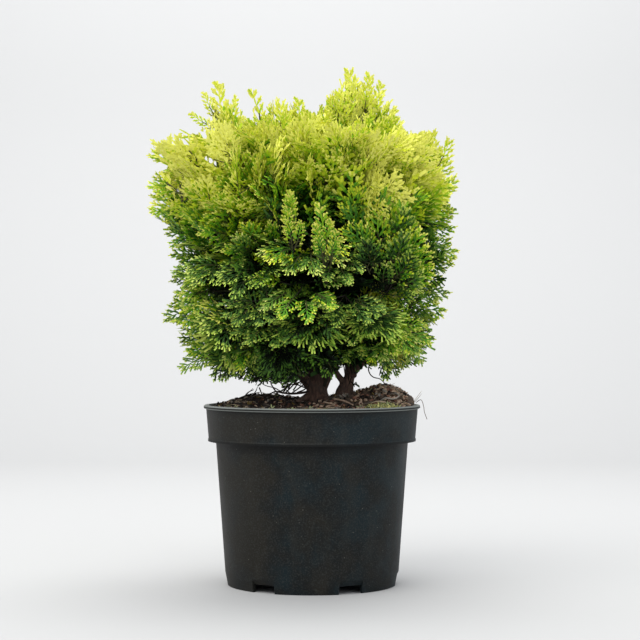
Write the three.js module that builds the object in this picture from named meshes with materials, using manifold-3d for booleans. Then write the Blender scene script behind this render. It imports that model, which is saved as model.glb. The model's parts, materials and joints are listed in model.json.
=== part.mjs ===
import * as THREE from "three";
import { mergeVertices } from "three/addons/utils/BufferGeometryUtils.js";
import Module from "manifold-3d";

// A dwarf hinoki cypress in a round nursery pot. Millimetres, +Z up, the plant's front facing -Y.
// The pot stands on z = 0 with its axis on the Z axis.

const wasm = await Module();
wasm.setup();

const fitGap = 0.3; // clearance between pieces that touch
const tolerance = 0.25; // facets flatter than this are merged

const pot = {
  height: 185,
  lipRadius: 112,
  lipHeight: 3.4,
  bandTopRadius: 109.5,
  bandBottomRadius: 107,
  bandHeight: 37,
  wallTopRadius: 99.4,
  wallBottomRadius: 89.75,
  footRadius: 87,
  footHeight: 14,
  wall: 2.5,
  floorHeight: 9,
  padRadius: 34,
  padSlope: 6,
  segments: 32,
};

const notches = { count: 6, firstTurn: -33.5, width: 26, height: 8, recess: 3, halfDepth: 12 };

const soil = {
  edgeHeight: 180,
  rings: 5,
  grain: { height: 1.1, acrossX: 9, acrossY: 11 },
  heaps: [
    { x: 76, y: 20, height: 23, spread: 26 },
    { x: -54, y: 22, height: 13, spread: 29 },
    { x: 12, y: 0, height: 8, spread: 34 },
  ],
};

const groundCut = 186; // height of the flat cut under both stems, just inside the soil
const socketDepth = 9; // how far a bough's end runs into its foliage mass

const stems = [
  {
    name: "trunk",
    path: [[5, -6, 180], [5, -5, 212], [0, 0, 250], [-6, 4, 320], [-10, 6, 390], [-8, 5, 440]],
    radii: [9.5, 8.4, 7.2, 6, 4.6, 3],
    flare: { reach: 5, height: 9, ridges: 4 },
    sides: 9,
    steps: 9,
  },
  {
    name: "stem_right",
    path: [[34, 2, 180], [37, 3, 205], [43, 5, 228], [46, 8, 272], [46, 10, 335], [38, 8, 410]],
    radii: [6.6, 5.8, 5.2, 4.4, 3.4, 2.2],
    flare: { reach: 3, height: 7, ridges: 3 },
    sides: 7,
    steps: 8,
  },
];

// Eight foliage masses stand round the stems in each tier. Reach is measured from the crown's axis, and
// sway lifts the tips on the right and lowers those on the left.
const crown = { axisX: -6, coreX: 12, coreRadius: 46, depthShare: 0.97, seed: 5 };
const unevenness = { turn: 7, height: 11, reach: 0.05 };
const compass = ["right", "back_right", "back", "back_left", "left", "front_left", "front", "front_right"];
const tiers = [
  { name: "skirt", rootHeight: 228, tipHeight: 280, left: 140, right: 127, thickness: 86, turn: 0, sway: 0 },
  { name: "hip", rootHeight: 308, tipHeight: 336, left: 142, right: 147, thickness: 92, turn: 15, sway: 11 },
  { name: "waist", rootHeight: 366, tipHeight: 403, left: 163, right: 152, thickness: 76, turn: -9, sway: 5 },
  { name: "shoulder", rootHeight: 410, tipHeight: 450, left: 161, right: 146, thickness: 66, turn: 9, sway: -3 },
];

// Upright plumes close the crown's top. Each runs from its root near the stems to its own tip.
const plumes = [
  { name: "plume_tall", tip: [34, 6, 535], rootX: 50, width: 56, thickness: 86 },
  { name: "plume_left", tip: [-103, -4, 513], rootX: -62, width: 62, thickness: 60 },
  { name: "plume_mid_left", tip: [-56, -12, 504], rootX: -30, width: 48, thickness: 78 },
  { name: "plume_mid", tip: [-14, -8, 504], rootX: -4, width: 52, thickness: 78 },
  { name: "plume_mid_right", tip: [70, -4, 514], rootX: 66, width: 54, thickness: 78 },
  { name: "plume_right", tip: [127, 4, 470], rootX: 62, width: 60, thickness: 62 },
  { name: "plume_back_left", tip: [-62, 74, 488], rootX: -32, width: 88, thickness: 80 },
  { name: "plume_back", tip: [0, 86, 482], rootX: -3, width: 88, thickness: 80 },
  { name: "plume_back_right", tip: [62, 76, 484], rootX: 26, width: 88, thickness: 80 },
  { name: "plume_front_left", tip: [-66, -78, 468], rootX: -34, width: 88, thickness: 80 },
  { name: "plume_front", tip: [2, -88, 474], rootX: -2, width: 88, thickness: 80 },
  { name: "plume_front_right", tip: [68, -78, 466], rootX: 28, width: 88, thickness: 80 },
];
const plumeRoot = { height: 408, depthShare: 0.46 };

// How full a mass's outline is towards its root and its tip: 2 is an ellipse and less is more pointed.
const fullness = { root: 2.5, tierTip: 2.2, plumeTip: 1.65 };

// Waves run round a mass and up it. Its section grows by the taper from its middle to its tip.
const lump = { around: 8, along: 6, waves: 3, least: 0.035, more: 0.03, section: 0.86, taper: 0.18 };

// Each bough leaves a stem at a height and runs out to the foliage mass that it carries.
const boughs = [
  { name: "bough_left", stem: "trunk", leave: 214, to: "hip_left", girth: 4.6 },
  { name: "bough_front_left", stem: "trunk", leave: 232, to: "hip_front_left", girth: 3.8 },
  { name: "bough_front", stem: "trunk", leave: 224, to: "skirt_front", girth: 3.4 },
  { name: "bough_back_left", stem: "trunk", leave: 246, to: "hip_back_left", girth: 4.2 },
  { name: "bough_back", stem: "trunk", leave: 268, to: "waist_back", girth: 3.8 },
  { name: "bough_front_right", stem: "stem_right", leave: 226, to: "hip_front_right", girth: 3.6 },
  { name: "bough_right", stem: "stem_right", leave: 236, to: "hip_right", girth: 4 },
  { name: "bough_back_right", stem: "stem_right", leave: 252, to: "hip_back_right", girth: 3.6 },
  { name: "bough_upper_left", stem: "trunk", leave: 330, to: "shoulder_left", girth: 3.2 },
  { name: "bough_upper_front", stem: "trunk", leave: 322, to: "waist_front", girth: 3.2 },
  { name: "bough_upper_right", stem: "stem_right", leave: 318, to: "shoulder_right", girth: 3 },
];

const finish = {
  pot: { color: 0x2b2c2b, roughness: 0.55, metalness: 0 },
  soil: { color: 0x2a1f18, roughness: 0.95, metalness: 0 },
  bark: { color: 0x4a342a, roughness: 0.9, metalness: 0 },
  foliage: { color: 0x6f8f26, roughness: 0.8, metalness: 0 },
};

const radians = THREE.MathUtils.degToRad;
const up = new THREE.Vector3(0, 0, 1);

// Solids

function toSolid(geometry) {
  geometry.deleteAttribute("normal");
  geometry.deleteAttribute("uv");
  const merged = mergeVertices(geometry, 1e-3);
  const vertProperties = new Float32Array(merged.attributes.position.array);
  const triVerts = new Uint32Array(merged.index.array);
  const solid = new wasm.Manifold(new wasm.Mesh({ numProp: 3, vertProperties, triVerts }));
  if (solid.volume() > 0) return solid;
  const turned = triVerts.slice().reverse();
  return new wasm.Manifold(new wasm.Mesh({ numProp: 3, vertProperties, triVerts: turned }));
}

function toGeometry(solid) {
  const { vertProperties, triVerts } = solid.getMesh();
  const geometry = new THREE.BufferGeometry();
  geometry.setAttribute("position", new THREE.BufferAttribute(vertProperties, 3));
  geometry.setIndex(new THREE.BufferAttribute(triVerts, 1));
  geometry.computeVertexNormals();
  return geometry;
}

function largestPart(solid) {
  const parts = solid.simplify(tolerance).decompose();
  return parts.reduce((best, part) => (part.volume() > best.volume() ? part : best));
}

// Cuts each cutter from the solid, and leaves out those whose boxes stay clear of it.
function cutAway(solid, cutters) {
  const near = cutters.filter((cutter) => {
    const a = solid.boundingBox();
    const b = cutter.boundingBox();
    return [0, 1, 2].every((k) => a.min[k] < b.max[k] && b.min[k] < a.max[k]);
  });
  return largestPart(near.reduce((left, cutter) => left.subtract(cutter), solid));
}

// Turns a list of [radius, height] pairs about the Z axis.
function turnedSolid(profile, segments) {
  const points = profile.map(([radius, height]) => new THREE.Vector2(radius, height));
  return toSolid(new THREE.LatheGeometry(points, segments).rotateX(Math.PI / 2));
}

// A small repeatable random source, so that every build gives the same crown.
function seededRandom(seed) {
  let state = seed >>> 0;
  return () => {
    state = (state + 0x6d2b79f5) >>> 0;
    let mixed = Math.imul(state ^ (state >>> 15), state | 1);
    mixed ^= mixed + Math.imul(mixed ^ (mixed >>> 7), mixed | 61);
    return ((mixed ^ (mixed >>> 14)) >>> 0) / 4294967296;
  };
}

// Pot and soil

// The outer and inner sides of the pot's wall share one shape, the inner one moved in by the wall.
function potProfile() {
  const bandFoot = pot.height - pot.bandHeight;
  const lipFoot = pot.height - pot.lipHeight;
  const floorTop = pot.floorHeight + pot.wall;
  const footInner = pot.footRadius - pot.wall - 1;
  const padOuter = pot.padRadius + pot.padSlope;
  return {
    outside: [
      [0, 0],
      [pot.padRadius, 0],
      [padOuter, pot.floorHeight],
      [footInner - 1, pot.floorHeight],
      [footInner, 0],
      [pot.footRadius, 0],
      [pot.wallBottomRadius, pot.footHeight],
      [pot.wallTopRadius, bandFoot],
      [pot.bandBottomRadius, bandFoot],
      [pot.bandTopRadius, lipFoot],
      [pot.lipRadius, lipFoot],
      [pot.lipRadius, pot.height],
    ],
    inside: [
      [pot.bandTopRadius - pot.wall, pot.height],
      [pot.bandBottomRadius - pot.wall, bandFoot + pot.wall],
      [pot.wallTopRadius - pot.wall, bandFoot + pot.wall],
      [pot.wallBottomRadius - pot.wall, floorTop],
      [padOuter - pot.wall, floorTop],
      [pot.padRadius - pot.wall, pot.wall],
      [0, pot.wall],
    ],
  };
}

// A drain notch opens under the raised floor, with a shallow slope in the wall above it.
function notchCutter(turn) {
  const inner = pot.footRadius - notches.halfDepth;
  const outer = pot.footRadius + notches.halfDepth;
  const section = new THREE.Shape([
    new THREE.Vector2(inner, -1),
    new THREE.Vector2(outer, -1),
    new THREE.Vector2(outer, pot.footHeight),
    new THREE.Vector2(pot.wallBottomRadius, pot.footHeight),
    new THREE.Vector2(pot.footRadius - notches.recess + 1, notches.height),
    new THREE.Vector2(inner, notches.height),
  ]);
  const block = new THREE.ExtrudeGeometry(section, { depth: notches.width, bevelEnabled: false });
  block.translate(0, 0, -notches.width / 2);
  block.rotateX(Math.PI / 2);
  block.rotateZ(radians(turn - 90));
  return toSolid(block);
}

function potSolid() {
  const { outside, inside } = potProfile();
  const shell = turnedSolid([...outside, ...inside], pot.segments);
  const step = 360 / notches.count;
  const turns = Array.from({ length: notches.count }, (_, k) => notches.firstTurn + k * step);
  return cutAway(shell, turns.map(notchCutter));
}

function soilHeight(x, y) {
  const heapAt = ({ x: cx, y: cy, height, spread }) =>
    height * Math.exp(-((x - cx) ** 2 + (y - cy) ** 2) / (2 * spread ** 2));
  const { height, acrossX, acrossY } = soil.grain;
  const grain = height * Math.sin(x / acrossX + 1.3) * Math.cos(y / acrossY - 0.4);
  return soil.edgeHeight + grain + soil.heaps.reduce((sum, heap) => sum + heapAt(heap), 0);
}

function soilSolid() {
  const side = potProfile().inside.slice(1).reverse();
  const fitted = side.map(([radius, height], k) => [
    k === 0 ? 0 : radius - 2 * fitGap,
    height + fitGap,
  ]);
  const edgeRadius = pot.bandTopRadius - pot.wall - 3 * fitGap;
  const rings = Array.from({ length: soil.rings + 1 }, (_, k) => [
    edgeRadius * (1 - k / soil.rings),
    soil.edgeHeight,
  ]);
  const points = [...fitted, ...rings].map(([radius, height]) => new THREE.Vector2(radius, height));
  const geometry = new THREE.LatheGeometry(points, pot.segments).rotateX(Math.PI / 2);
  const position = geometry.attributes.position;
  for (let i = 0; i < position.count; i += 1) {
    if (Math.abs(position.getZ(i) - soil.edgeHeight) > 1e-3) continue;
    const x = Math.round(position.getX(i) * 1e3) / 1e3;
    const y = Math.round(position.getY(i) * 1e3) / 1e3;
    position.setXYZ(i, x, y, soilHeight(x, y));
  }
  return toSolid(geometry);
}

// Stems and boughs

function between(values, t) {
  const place = THREE.MathUtils.clamp(t, 0, 1) * (values.length - 1);
  const low = Math.min(Math.floor(place), values.length - 2);
  return THREE.MathUtils.lerp(values[low], values[low + 1], place - low);
}

// A tapering limb: a cylinder's stations are laid along a smooth curve. Grow makes it larger all round.
function limbSolid({ points, radiusAt, sides, steps, grow = 0 }) {
  const curve = new THREE.CatmullRomCurve3(points);
  const frames = curve.computeFrenetFrames(steps, false);
  const geometry = new THREE.CylinderGeometry(1, 1, 1, sides, steps);
  const position = geometry.attributes.position;
  const spot = new THREE.Vector3();
  for (let i = 0; i < position.count; i += 1) {
    const station = Math.round((position.getY(i) + 0.5) * steps);
    const t = station / steps;
    const overrun = station === 0 ? -grow : station === steps ? grow : 0;
    const angle = Math.atan2(position.getZ(i), position.getX(i));
    const radius = radiusAt(t, angle) + grow;
    spot.copy(curve.getPointAt(t)).addScaledVector(frames.tangents[station], overrun);
    spot.addScaledVector(frames.normals[station], radius * position.getX(i));
    spot.addScaledVector(frames.binormals[station], -radius * position.getZ(i));
    position.setXYZ(i, spot.x, spot.y, spot.z);
  }
  return toSolid(geometry);
}

function stemSolid({ path, radii, flare, sides, steps }, grow) {
  const points = path.map((place) => new THREE.Vector3(...place));
  const length = new THREE.CatmullRomCurve3(points).getLength();
  const radiusAt = (t, angle) => {
    const spread = flare.reach * Math.exp(-Math.max(t * length - (groundCut - path[0][2]), 0) / flare.height);
    return between(radii, t) + spread * (1 + 0.4 * Math.cos(flare.ridges * angle));
  };
  const limb = limbSolid({ points, radiusAt, sides, steps, grow });
  return limb.trimByPlane([0, 0, 1], groundCut - grow);
}

function stemPointAt(stem, height) {
  const curve = new THREE.CatmullRomCurve3(stem.path.map((place) => new THREE.Vector3(...place)));
  const places = curve.getSpacedPoints(200);
  return places.reduce((best, p) => (Math.abs(p.z - height) < Math.abs(best.z - height) ? p : best));
}

// A bough leaves its stem steeply, bends out, and ends just inside its mass.
function boughSolid({ stem, leave, to, girth }, grow) {
  const start = stemPointAt(stems.find(({ name }) => name === stem), leave);
  const mass = masses.find(({ name }) => name === to);
  const end = mass.root.clone().addScaledVector(mass.along, socketDepth);
  const span = end.clone().sub(start);
  const bend = start.clone().addScaledVector(span, 0.45);
  bend.z += 0.1 * span.length();
  const points = [start, bend, end];
  const radiusAt = (t) => between([girth, 0.78 * girth, 0.55 * girth], t);
  return limbSolid({ points, radiusAt, sides: 6, steps: 3, grow });
}

// Foliage masses

// A mass's own frame and half sizes: along runs from its root to its tip, across lies level.
function massFrame({ name, root, tip, width, thickness, tipFullness }, seed) {
  const along = tip.clone().sub(root);
  const length = along.length();
  along.normalize();
  const away = new THREE.Vector3(tip.x - crown.axisX, tip.y, 0).normalize();
  const across = new THREE.Vector3().crossVectors(up, away).normalize();
  const over = new THREE.Vector3().crossVectors(along, across).normalize();
  across.crossVectors(over, along).normalize();
  const centre = root.clone().add(tip).multiplyScalar(0.5);
  const half = new THREE.Vector3(width / 2, length / 2, thickness / 2);
  const turn = new THREE.Matrix3().set(
    across.x, along.x, over.x,
    across.y, along.y, over.y,
    across.z, along.z, over.z,
  );
  return { name, root, along, across, over, centre, half, turn, tipFullness, seed };
}

// The masses at the front and back are set more unevenly than those at the two sides.
function tierMasses() {
  const random = seededRandom(crown.seed);
  return tiers.flatMap((tier) =>
    compass.map((side, k) => {
      const uneven = 2 * Math.abs(Math.sin(radians(k * 45)));
      const shift = () => uneven * (random() - 0.5);
      const angle = radians(k * 45 + tier.turn + unevenness.turn * shift());
      const out = new THREE.Vector3(Math.cos(angle), Math.sin(angle), 0);
      const sideReach = out.x > 0 ? tier.right : tier.left;
      const depthReach = (crown.depthShare * (tier.left + tier.right)) / 2;
      const reach = (1 + unevenness.reach * shift()) / Math.hypot(out.x / sideReach, out.y / depthReach);
      const tipHeight = tier.tipHeight + tier.sway * out.x + unevenness.height * shift();
      const root = out.clone().multiplyScalar(crown.coreRadius).setZ(tier.rootHeight);
      const tip = out.clone().multiplyScalar(reach).setZ(tipHeight);
      root.x += crown.coreX;
      tip.x += crown.axisX;
      const width = 1.04 * reach * radians(45);
      const name = `${tier.name}_${side}`;
      return { name, root, tip, width, thickness: tier.thickness, tipFullness: fullness.tierTip };
    }),
  );
}

function plumeMasses() {
  return plumes.map(({ name, tip, rootX, width, thickness }) => {
    const end = new THREE.Vector3(...tip);
    const root = new THREE.Vector3(rootX, plumeRoot.depthShare * end.y, plumeRoot.height);
    return { name, root, tip: end, width, thickness, tipFullness: fullness.plumeTip };
  });
}

const masses = [...tierMasses(), ...plumeMasses()].map((mass, k) => massFrame(mass, 31 * k + 7));

// An uneven lump: fuller than an ellipsoid, narrower at its root, and drawn to its tip.
function massSolid(mass) {
  const random = seededRandom(mass.seed);
  const waves = Array.from({ length: lump.waves }, (_, k) => ({
    turns: k + 2,
    phase: random() * 2 * Math.PI,
    climb: 2 + 2 * random(),
    size: lump.least + lump.more * random(),
  }));
  const geometry = new THREE.SphereGeometry(1, lump.around, lump.along);
  const position = geometry.attributes.position;
  const spot = new THREE.Vector3();
  for (let i = 0; i < position.count; i += 1) {
    const t = position.getY(i);
    const ring = Math.hypot(position.getX(i), position.getZ(i));
    const angle = Math.atan2(position.getZ(i), position.getX(i));
    const power = t < 0 ? fullness.root : mass.tipFullness;
    const full = (1 - Math.abs(t) ** power) ** (1 / power);
    const lumps = waves.reduce(
      (sum, { turns, phase, climb, size }) => sum + size * Math.sin(turns * angle + climb * t + phase),
      1,
    );
    const section = ring < 1e-6 ? 0 : full * (lump.section + lump.taper * t) * lumps;
    const sideways = Math.cos(angle) * section * mass.half.x;
    const upward = Math.sin(angle) * section * mass.half.z;
    spot.copy(mass.centre).addScaledVector(mass.along, t * mass.half.y);
    spot.addScaledVector(mass.across, sideways).addScaledVector(mass.over, upward);
    position.setXYZ(i, spot.x, spot.y, spot.z);
  }
  return toSolid(geometry);
}

// The spread matrix of a mass's ellipsoid, whose support radius along n is sqrt(n . S n).
function spreadOf({ turn, half }) {
  const squares = new THREE.Matrix3().set(half.x ** 2, 0, 0, 0, half.y ** 2, 0, 0, 0, half.z ** 2);
  return turn.clone().multiply(squares).multiply(turn.clone().transpose());
}

// The plane that parts two masses, shared between them by their radii towards each other.
function partingPlane(a, b) {
  const [spreadA, spreadB] = [spreadOf(a), spreadOf(b)];
  const sum = new THREE.Matrix3();
  sum.elements = spreadA.elements.map((value, k) => value + spreadB.elements[k]);
  const step = b.centre.clone().sub(a.centre);
  const normal = step.clone().applyMatrix3(sum.invert()).normalize();
  const radiusA = Math.sqrt(normal.dot(normal.clone().applyMatrix3(spreadA)));
  const radiusB = Math.sqrt(normal.dot(normal.clone().applyMatrix3(spreadB)));
  const offset = normal.dot(a.centre) + (normal.dot(step) * radiusA) / (radiusA + radiusB);
  return { normal, offset };
}

function partMasses(solids) {
  const parted = [...solids];
  masses.forEach((a, i) => {
    masses.slice(i + 1).forEach((b, step) => {
      const j = i + 1 + step;
      if (parted[i].intersect(parted[j]).isEmpty()) return;
      const { normal, offset } = partingPlane(a, b);
      parted[i] = parted[i].trimByPlane(normal.clone().negate().toArray(), -offset + fitGap / 2);
      parted[j] = parted[j].trimByPlane(normal.toArray(), offset + fitGap / 2);
    });
  });
  return parted;
}

// Assembly

const group = new THREE.Group();
group.name = "dwarf_hinoki_cypress";

function addPiece(name, solid, look) {
  const mesh = new THREE.Mesh(toGeometry(solid), new THREE.MeshStandardMaterial(look));
  mesh.name = name;
  group.add(mesh);
}

const stemSolids = stems.map((stem) => stemSolid(stem, 0));
const stemCutters = stems.map((stem) => stemSolid(stem, fitGap));

const limbCutters = [...stemCutters];
const boughSolids = boughs.map((bough) => {
  const solid = cutAway(boughSolid(bough, 0), limbCutters);
  limbCutters.push(boughSolid(bough, fitGap));
  return solid;
});

const massSolids = partMasses(masses.map(massSolid)).map((solid) => cutAway(solid, limbCutters));

addPiece("pot", potSolid(), finish.pot);
addPiece("potting_mix", cutAway(soilSolid(), stemCutters), finish.soil);
stems.forEach((stem, k) => addPiece(stem.name, largestPart(stemSolids[k]), finish.bark));
boughs.forEach((bough, k) => addPiece(bough.name, boughSolids[k], finish.bark));
masses.forEach((mass, k) => addPiece(mass.name, massSolids[k], finish.foliage));

export default group;
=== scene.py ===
import json
import math
import bmesh
import bpy
import numpy as np
from mathutils import Matrix, Vector, noise
from mathutils.bvhtree import BVHTree


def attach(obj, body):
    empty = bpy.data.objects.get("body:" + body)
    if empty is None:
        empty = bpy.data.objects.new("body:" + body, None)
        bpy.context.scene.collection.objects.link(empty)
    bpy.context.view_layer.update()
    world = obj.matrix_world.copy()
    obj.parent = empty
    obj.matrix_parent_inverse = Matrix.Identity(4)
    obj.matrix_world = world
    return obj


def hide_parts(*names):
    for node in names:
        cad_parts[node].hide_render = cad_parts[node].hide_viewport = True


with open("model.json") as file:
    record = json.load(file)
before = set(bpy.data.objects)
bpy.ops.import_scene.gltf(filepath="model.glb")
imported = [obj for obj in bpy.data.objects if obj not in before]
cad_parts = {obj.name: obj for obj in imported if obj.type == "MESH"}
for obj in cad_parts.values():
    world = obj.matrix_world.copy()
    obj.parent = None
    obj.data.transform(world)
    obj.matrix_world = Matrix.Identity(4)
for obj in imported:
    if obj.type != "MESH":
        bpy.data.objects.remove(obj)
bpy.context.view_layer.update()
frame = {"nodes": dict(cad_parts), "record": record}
nodes = frame["nodes"]
slotOf = {row["node"]: row["material_slot"] for row in frame["record"]["subparts"]}
print("frame loaded:", len(nodes), "nodes")

# camera, light and studio

studio = {
    "cameraAt": (0.0083, -1.856, 0.2592),
    "cameraTiltUp": 0.416,
    "lens": 100.7,
    "sensorWidth": 36,
    "clipStart": 0.05,
    "aim": (0, 0, 0.3),
    "wallDistance": 2.6,
    "wallBend": 0.9,
    "bendSteps": 16,
    "wallHeight": 3.2,
    "floorFront": 3.4,
    "halfWidth": 4.5,
    "floorPaper": (0.40, 0.40, 0.40),
    "wallPaper": (0.50, 0.50, 0.50),
    "paperRoughness": 0.9,
    "sky": (0.93, 0.96, 1.0),
    "skyStrength": 0.86,
}
areaLights = [
    {"name": "keyLight", "at": (-1.0, -1.4, 2.7), "size": 2.4, "power": 70, "tint": (1.0, 0.985, 0.95)},
    {"name": "fillLight", "at": (1.4, -2.5, 1.3), "size": 2.0, "power": 17, "tint": (0.92, 0.96, 1.0)},
    {"name": "topLight", "at": (0.1, 0.5, 2.5), "size": 1.5, "power": 34, "tint": (1.0, 1.0, 0.98)},
    {"name": "wallLight", "at": (0.0, 1.1, 3.0), "size": 2.4, "power": 66, "tint": (1.0, 1.0, 1.0),
     "aim": (0, 2.6, 1.1)},
]


def makeCamera():
    camera = bpy.data.objects.new("camera", bpy.data.cameras.new("camera"))
    bpy.context.scene.collection.objects.link(camera)
    camera.location = studio["cameraAt"]
    camera.rotation_euler = (math.radians(90 + studio["cameraTiltUp"]), 0, 0)
    camera.data.lens = studio["lens"]
    camera.data.sensor_width = studio["sensorWidth"]
    camera.data.clip_start = studio["clipStart"]
    bpy.context.scene.camera = camera


def makeLights():
    for spec in areaLights:
        light = bpy.data.lights.new(spec["name"], "AREA")
        light.size = spec["size"]
        light.energy = spec["power"]
        light.color = spec["tint"]
        lamp = bpy.data.objects.new(spec["name"], light)
        bpy.context.scene.collection.objects.link(lamp)
        lamp.location = spec["at"]
        toward = Vector(spec.get("aim", studio["aim"])) - lamp.location
        lamp.rotation_euler = toward.to_track_quat("-Z", "Y").to_euler()
    world = bpy.data.worlds.new("studioSky")
    bpy.context.scene.world = world
    world.use_nodes = True
    sky = world.node_tree.nodes["Background"]
    sky.inputs["Color"].default_value = (*studio["sky"], 1)
    sky.inputs["Strength"].default_value = studio["skyStrength"]
    bpy.context.scene.view_settings.view_transform = "Standard"


def linkMesh(name, mesh):
    piece = bpy.data.objects.new(name, mesh)
    bpy.context.scene.collection.objects.link(piece)
    return piece


def shadeSmooth(mesh):
    mesh.polygons.foreach_set("use_smooth", [True] * len(mesh.polygons))
    mesh.update()


def meshFrom(name, bm):
    mesh = bpy.data.meshes.new(name)
    bm.to_mesh(mesh)
    bm.free()
    return mesh


def makeMaterial(name):
    material = bpy.data.materials.new(name)
    material.use_nodes = True
    return material, material.node_tree, material.node_tree.nodes["Principled BSDF"]


def makeStudio():
    bm = bmesh.new()
    steps, bend, wall = studio["bendSteps"], studio["wallBend"], studio["wallDistance"]
    profile = [(-studio["floorFront"], 0.0)]
    for k in range(steps + 1):
        turn = 0.5 * math.pi * k / steps
        profile.append((wall - bend + bend * math.sin(turn), bend - bend * math.cos(turn)))
    profile.append((wall, studio["wallHeight"]))
    line = [bm.verts.new((-studio["halfWidth"], y, z)) for y, z in profile]
    edges = [bm.edges.new(pair) for pair in zip(line, line[1:])]
    swept = bmesh.ops.extrude_edge_only(bm, edges=edges)["geom"]
    moved = [item for item in swept if isinstance(item, bmesh.types.BMVert)]
    bmesh.ops.translate(bm, verts=moved, vec=(2 * studio["halfWidth"], 0, 0))
    bmesh.ops.recalc_face_normals(bm, faces=bm.faces)
    mesh = meshFrom("studioFloor", bm)
    shadeSmooth(mesh)
    material, tree, shader = makeMaterial("studioPaper")
    place = addNode(tree, "ShaderNodeTexCoord")
    [height] = axesOf(tree, place.outputs["Object"], "Z")
    rise = valueRange(tree, height, 0, studio["wallBend"], 0, 1)
    paper = mixColours(tree, rise, (*studio["floorPaper"], 1), (*studio["wallPaper"], 1))
    tree.links.new(paper, shader.inputs["Base Color"])
    shader.inputs["Roughness"].default_value = studio["paperRoughness"]
    mesh.materials.append(material)
    linkMesh("studioFloor", mesh)


# materials that several pieces share


def linearColour(red, green, blue):
    def linear(value):
        share = value / 255
        return share / 12.92 if share <= 0.04045 else ((share + 0.055) / 1.055) ** 2.4
    return (linear(red), linear(green), linear(blue), 1)


def addNode(tree, kind, **values):
    node = tree.nodes.new(kind)
    for key, value in values.items():
        if key in node.inputs:
            node.inputs[key].default_value = value
        else:
            setattr(node, key, value)
    return node


def objectPattern(tree, scale=(1, 1, 1)):
    place = addNode(tree, "ShaderNodeTexCoord")
    mapping = addNode(tree, "ShaderNodeMapping")
    mapping.inputs["Scale"].default_value = scale
    tree.links.new(place.outputs["Object"], mapping.inputs["Vector"])
    return mapping.outputs["Vector"]


# The sockets of a vector's named axes.
def axesOf(tree, vector, names):
    split = addNode(tree, "ShaderNodeSeparateXYZ")
    tree.links.new(vector, split.inputs["Vector"])
    return [split.outputs[name] for name in names]


def feed(tree, source, socket):
    if isinstance(source, bpy.types.NodeSocket):
        tree.links.new(source, socket)
    else:
        socket.default_value = source


def mathNode(tree, operation, first, second):
    node = addNode(tree, "ShaderNodeMath", operation=operation)
    feed(tree, first, node.inputs[0])
    feed(tree, second, node.inputs[1])
    return node.outputs[0]


# A stop's colour is three sRGB numbers, or four linear ones.
def colourRamp(tree, source, stops):
    ramp = addNode(tree, "ShaderNodeValToRGB")
    elements = ramp.color_ramp.elements
    while len(elements) < len(stops):
        elements.new(0.5)
    for element, (position, colour) in zip(elements, stops):
        element.position = position
        element.color = colour if len(colour) == 4 else linearColour(*colour)
    tree.links.new(source, ramp.inputs["Fac"])
    return ramp.outputs["Color"]


def valueRange(tree, source, low, high, outLow, outHigh):
    node = addNode(tree, "ShaderNodeMapRange")
    for key, value in (("From Min", low), ("From Max", high), ("To Min", outLow), ("To Max", outHigh)):
        node.inputs[key].default_value = value
    tree.links.new(source, node.inputs["Value"])
    return node.outputs["Result"]


def mixColours(tree, share, first, second):
    node = addNode(tree, "ShaderNodeMix", data_type="RGBA")
    for source, socket in ((share, node.inputs[0]), (first, node.inputs[6]), (second, node.inputs[7])):
        feed(tree, source, socket)
    return node.outputs[2]


def addBump(tree, shader, height, strength, distance):
    bump = addNode(tree, "ShaderNodeBump", Strength=strength, Distance=distance)
    tree.links.new(height, bump.inputs["Height"])
    tree.links.new(bump.outputs["Normal"], shader.inputs["Normal"])


def noiseTexture(tree, vector, scale, detail=4.0, rough=0.55):
    node = addNode(tree, "ShaderNodeTexNoise", Scale=scale, Detail=detail, Roughness=rough)
    tree.links.new(vector, node.inputs["Vector"])
    return node.outputs["Fac"]


def plainMaterial(name, colour, roughness):
    material, tree, shader = makeMaterial(name)
    shader.inputs["Base Color"].default_value = linearColour(*colour)
    shader.inputs["Roughness"].default_value = roughness
    return material


makeCamera()
makeLights()
makeStudio()
print("studio ready")

# meshes joined from arrays


def unit(vector):
    return vector / max(np.linalg.norm(vector), 1e-9)


# Joins parts, each a set of points, triangles and one material number per triangle.
def joinedMesh(name, parts, materials, smooth=True):
    points, faces, kinds, total = [], [], [], 0
    for partPoints, partFaces, partKinds in parts:
        points.append(partPoints)
        faces.append(partFaces + total)
        kinds.append(np.broadcast_to(partKinds, len(partFaces)))
        total += len(partPoints)
    points = np.concatenate(points).astype(np.float32)
    faces = np.concatenate(faces).astype(np.int32)
    mesh = bpy.data.meshes.new(name)
    mesh.vertices.add(len(points))
    mesh.vertices.foreach_set("co", points.ravel())
    mesh.loops.add(faces.size)
    mesh.loops.foreach_set("vertex_index", faces.ravel())
    mesh.polygons.add(len(faces))
    mesh.polygons.foreach_set("loop_start", np.arange(0, faces.size, 3, dtype=np.int32))
    mesh.polygons.foreach_set("material_index", np.concatenate(kinds).astype(np.int32))
    mesh.polygons.foreach_set("use_smooth", np.full(len(faces), smooth))
    mesh.update(calc_edges=True)
    for material in materials:
        mesh.materials.append(material)
    return mesh


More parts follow.
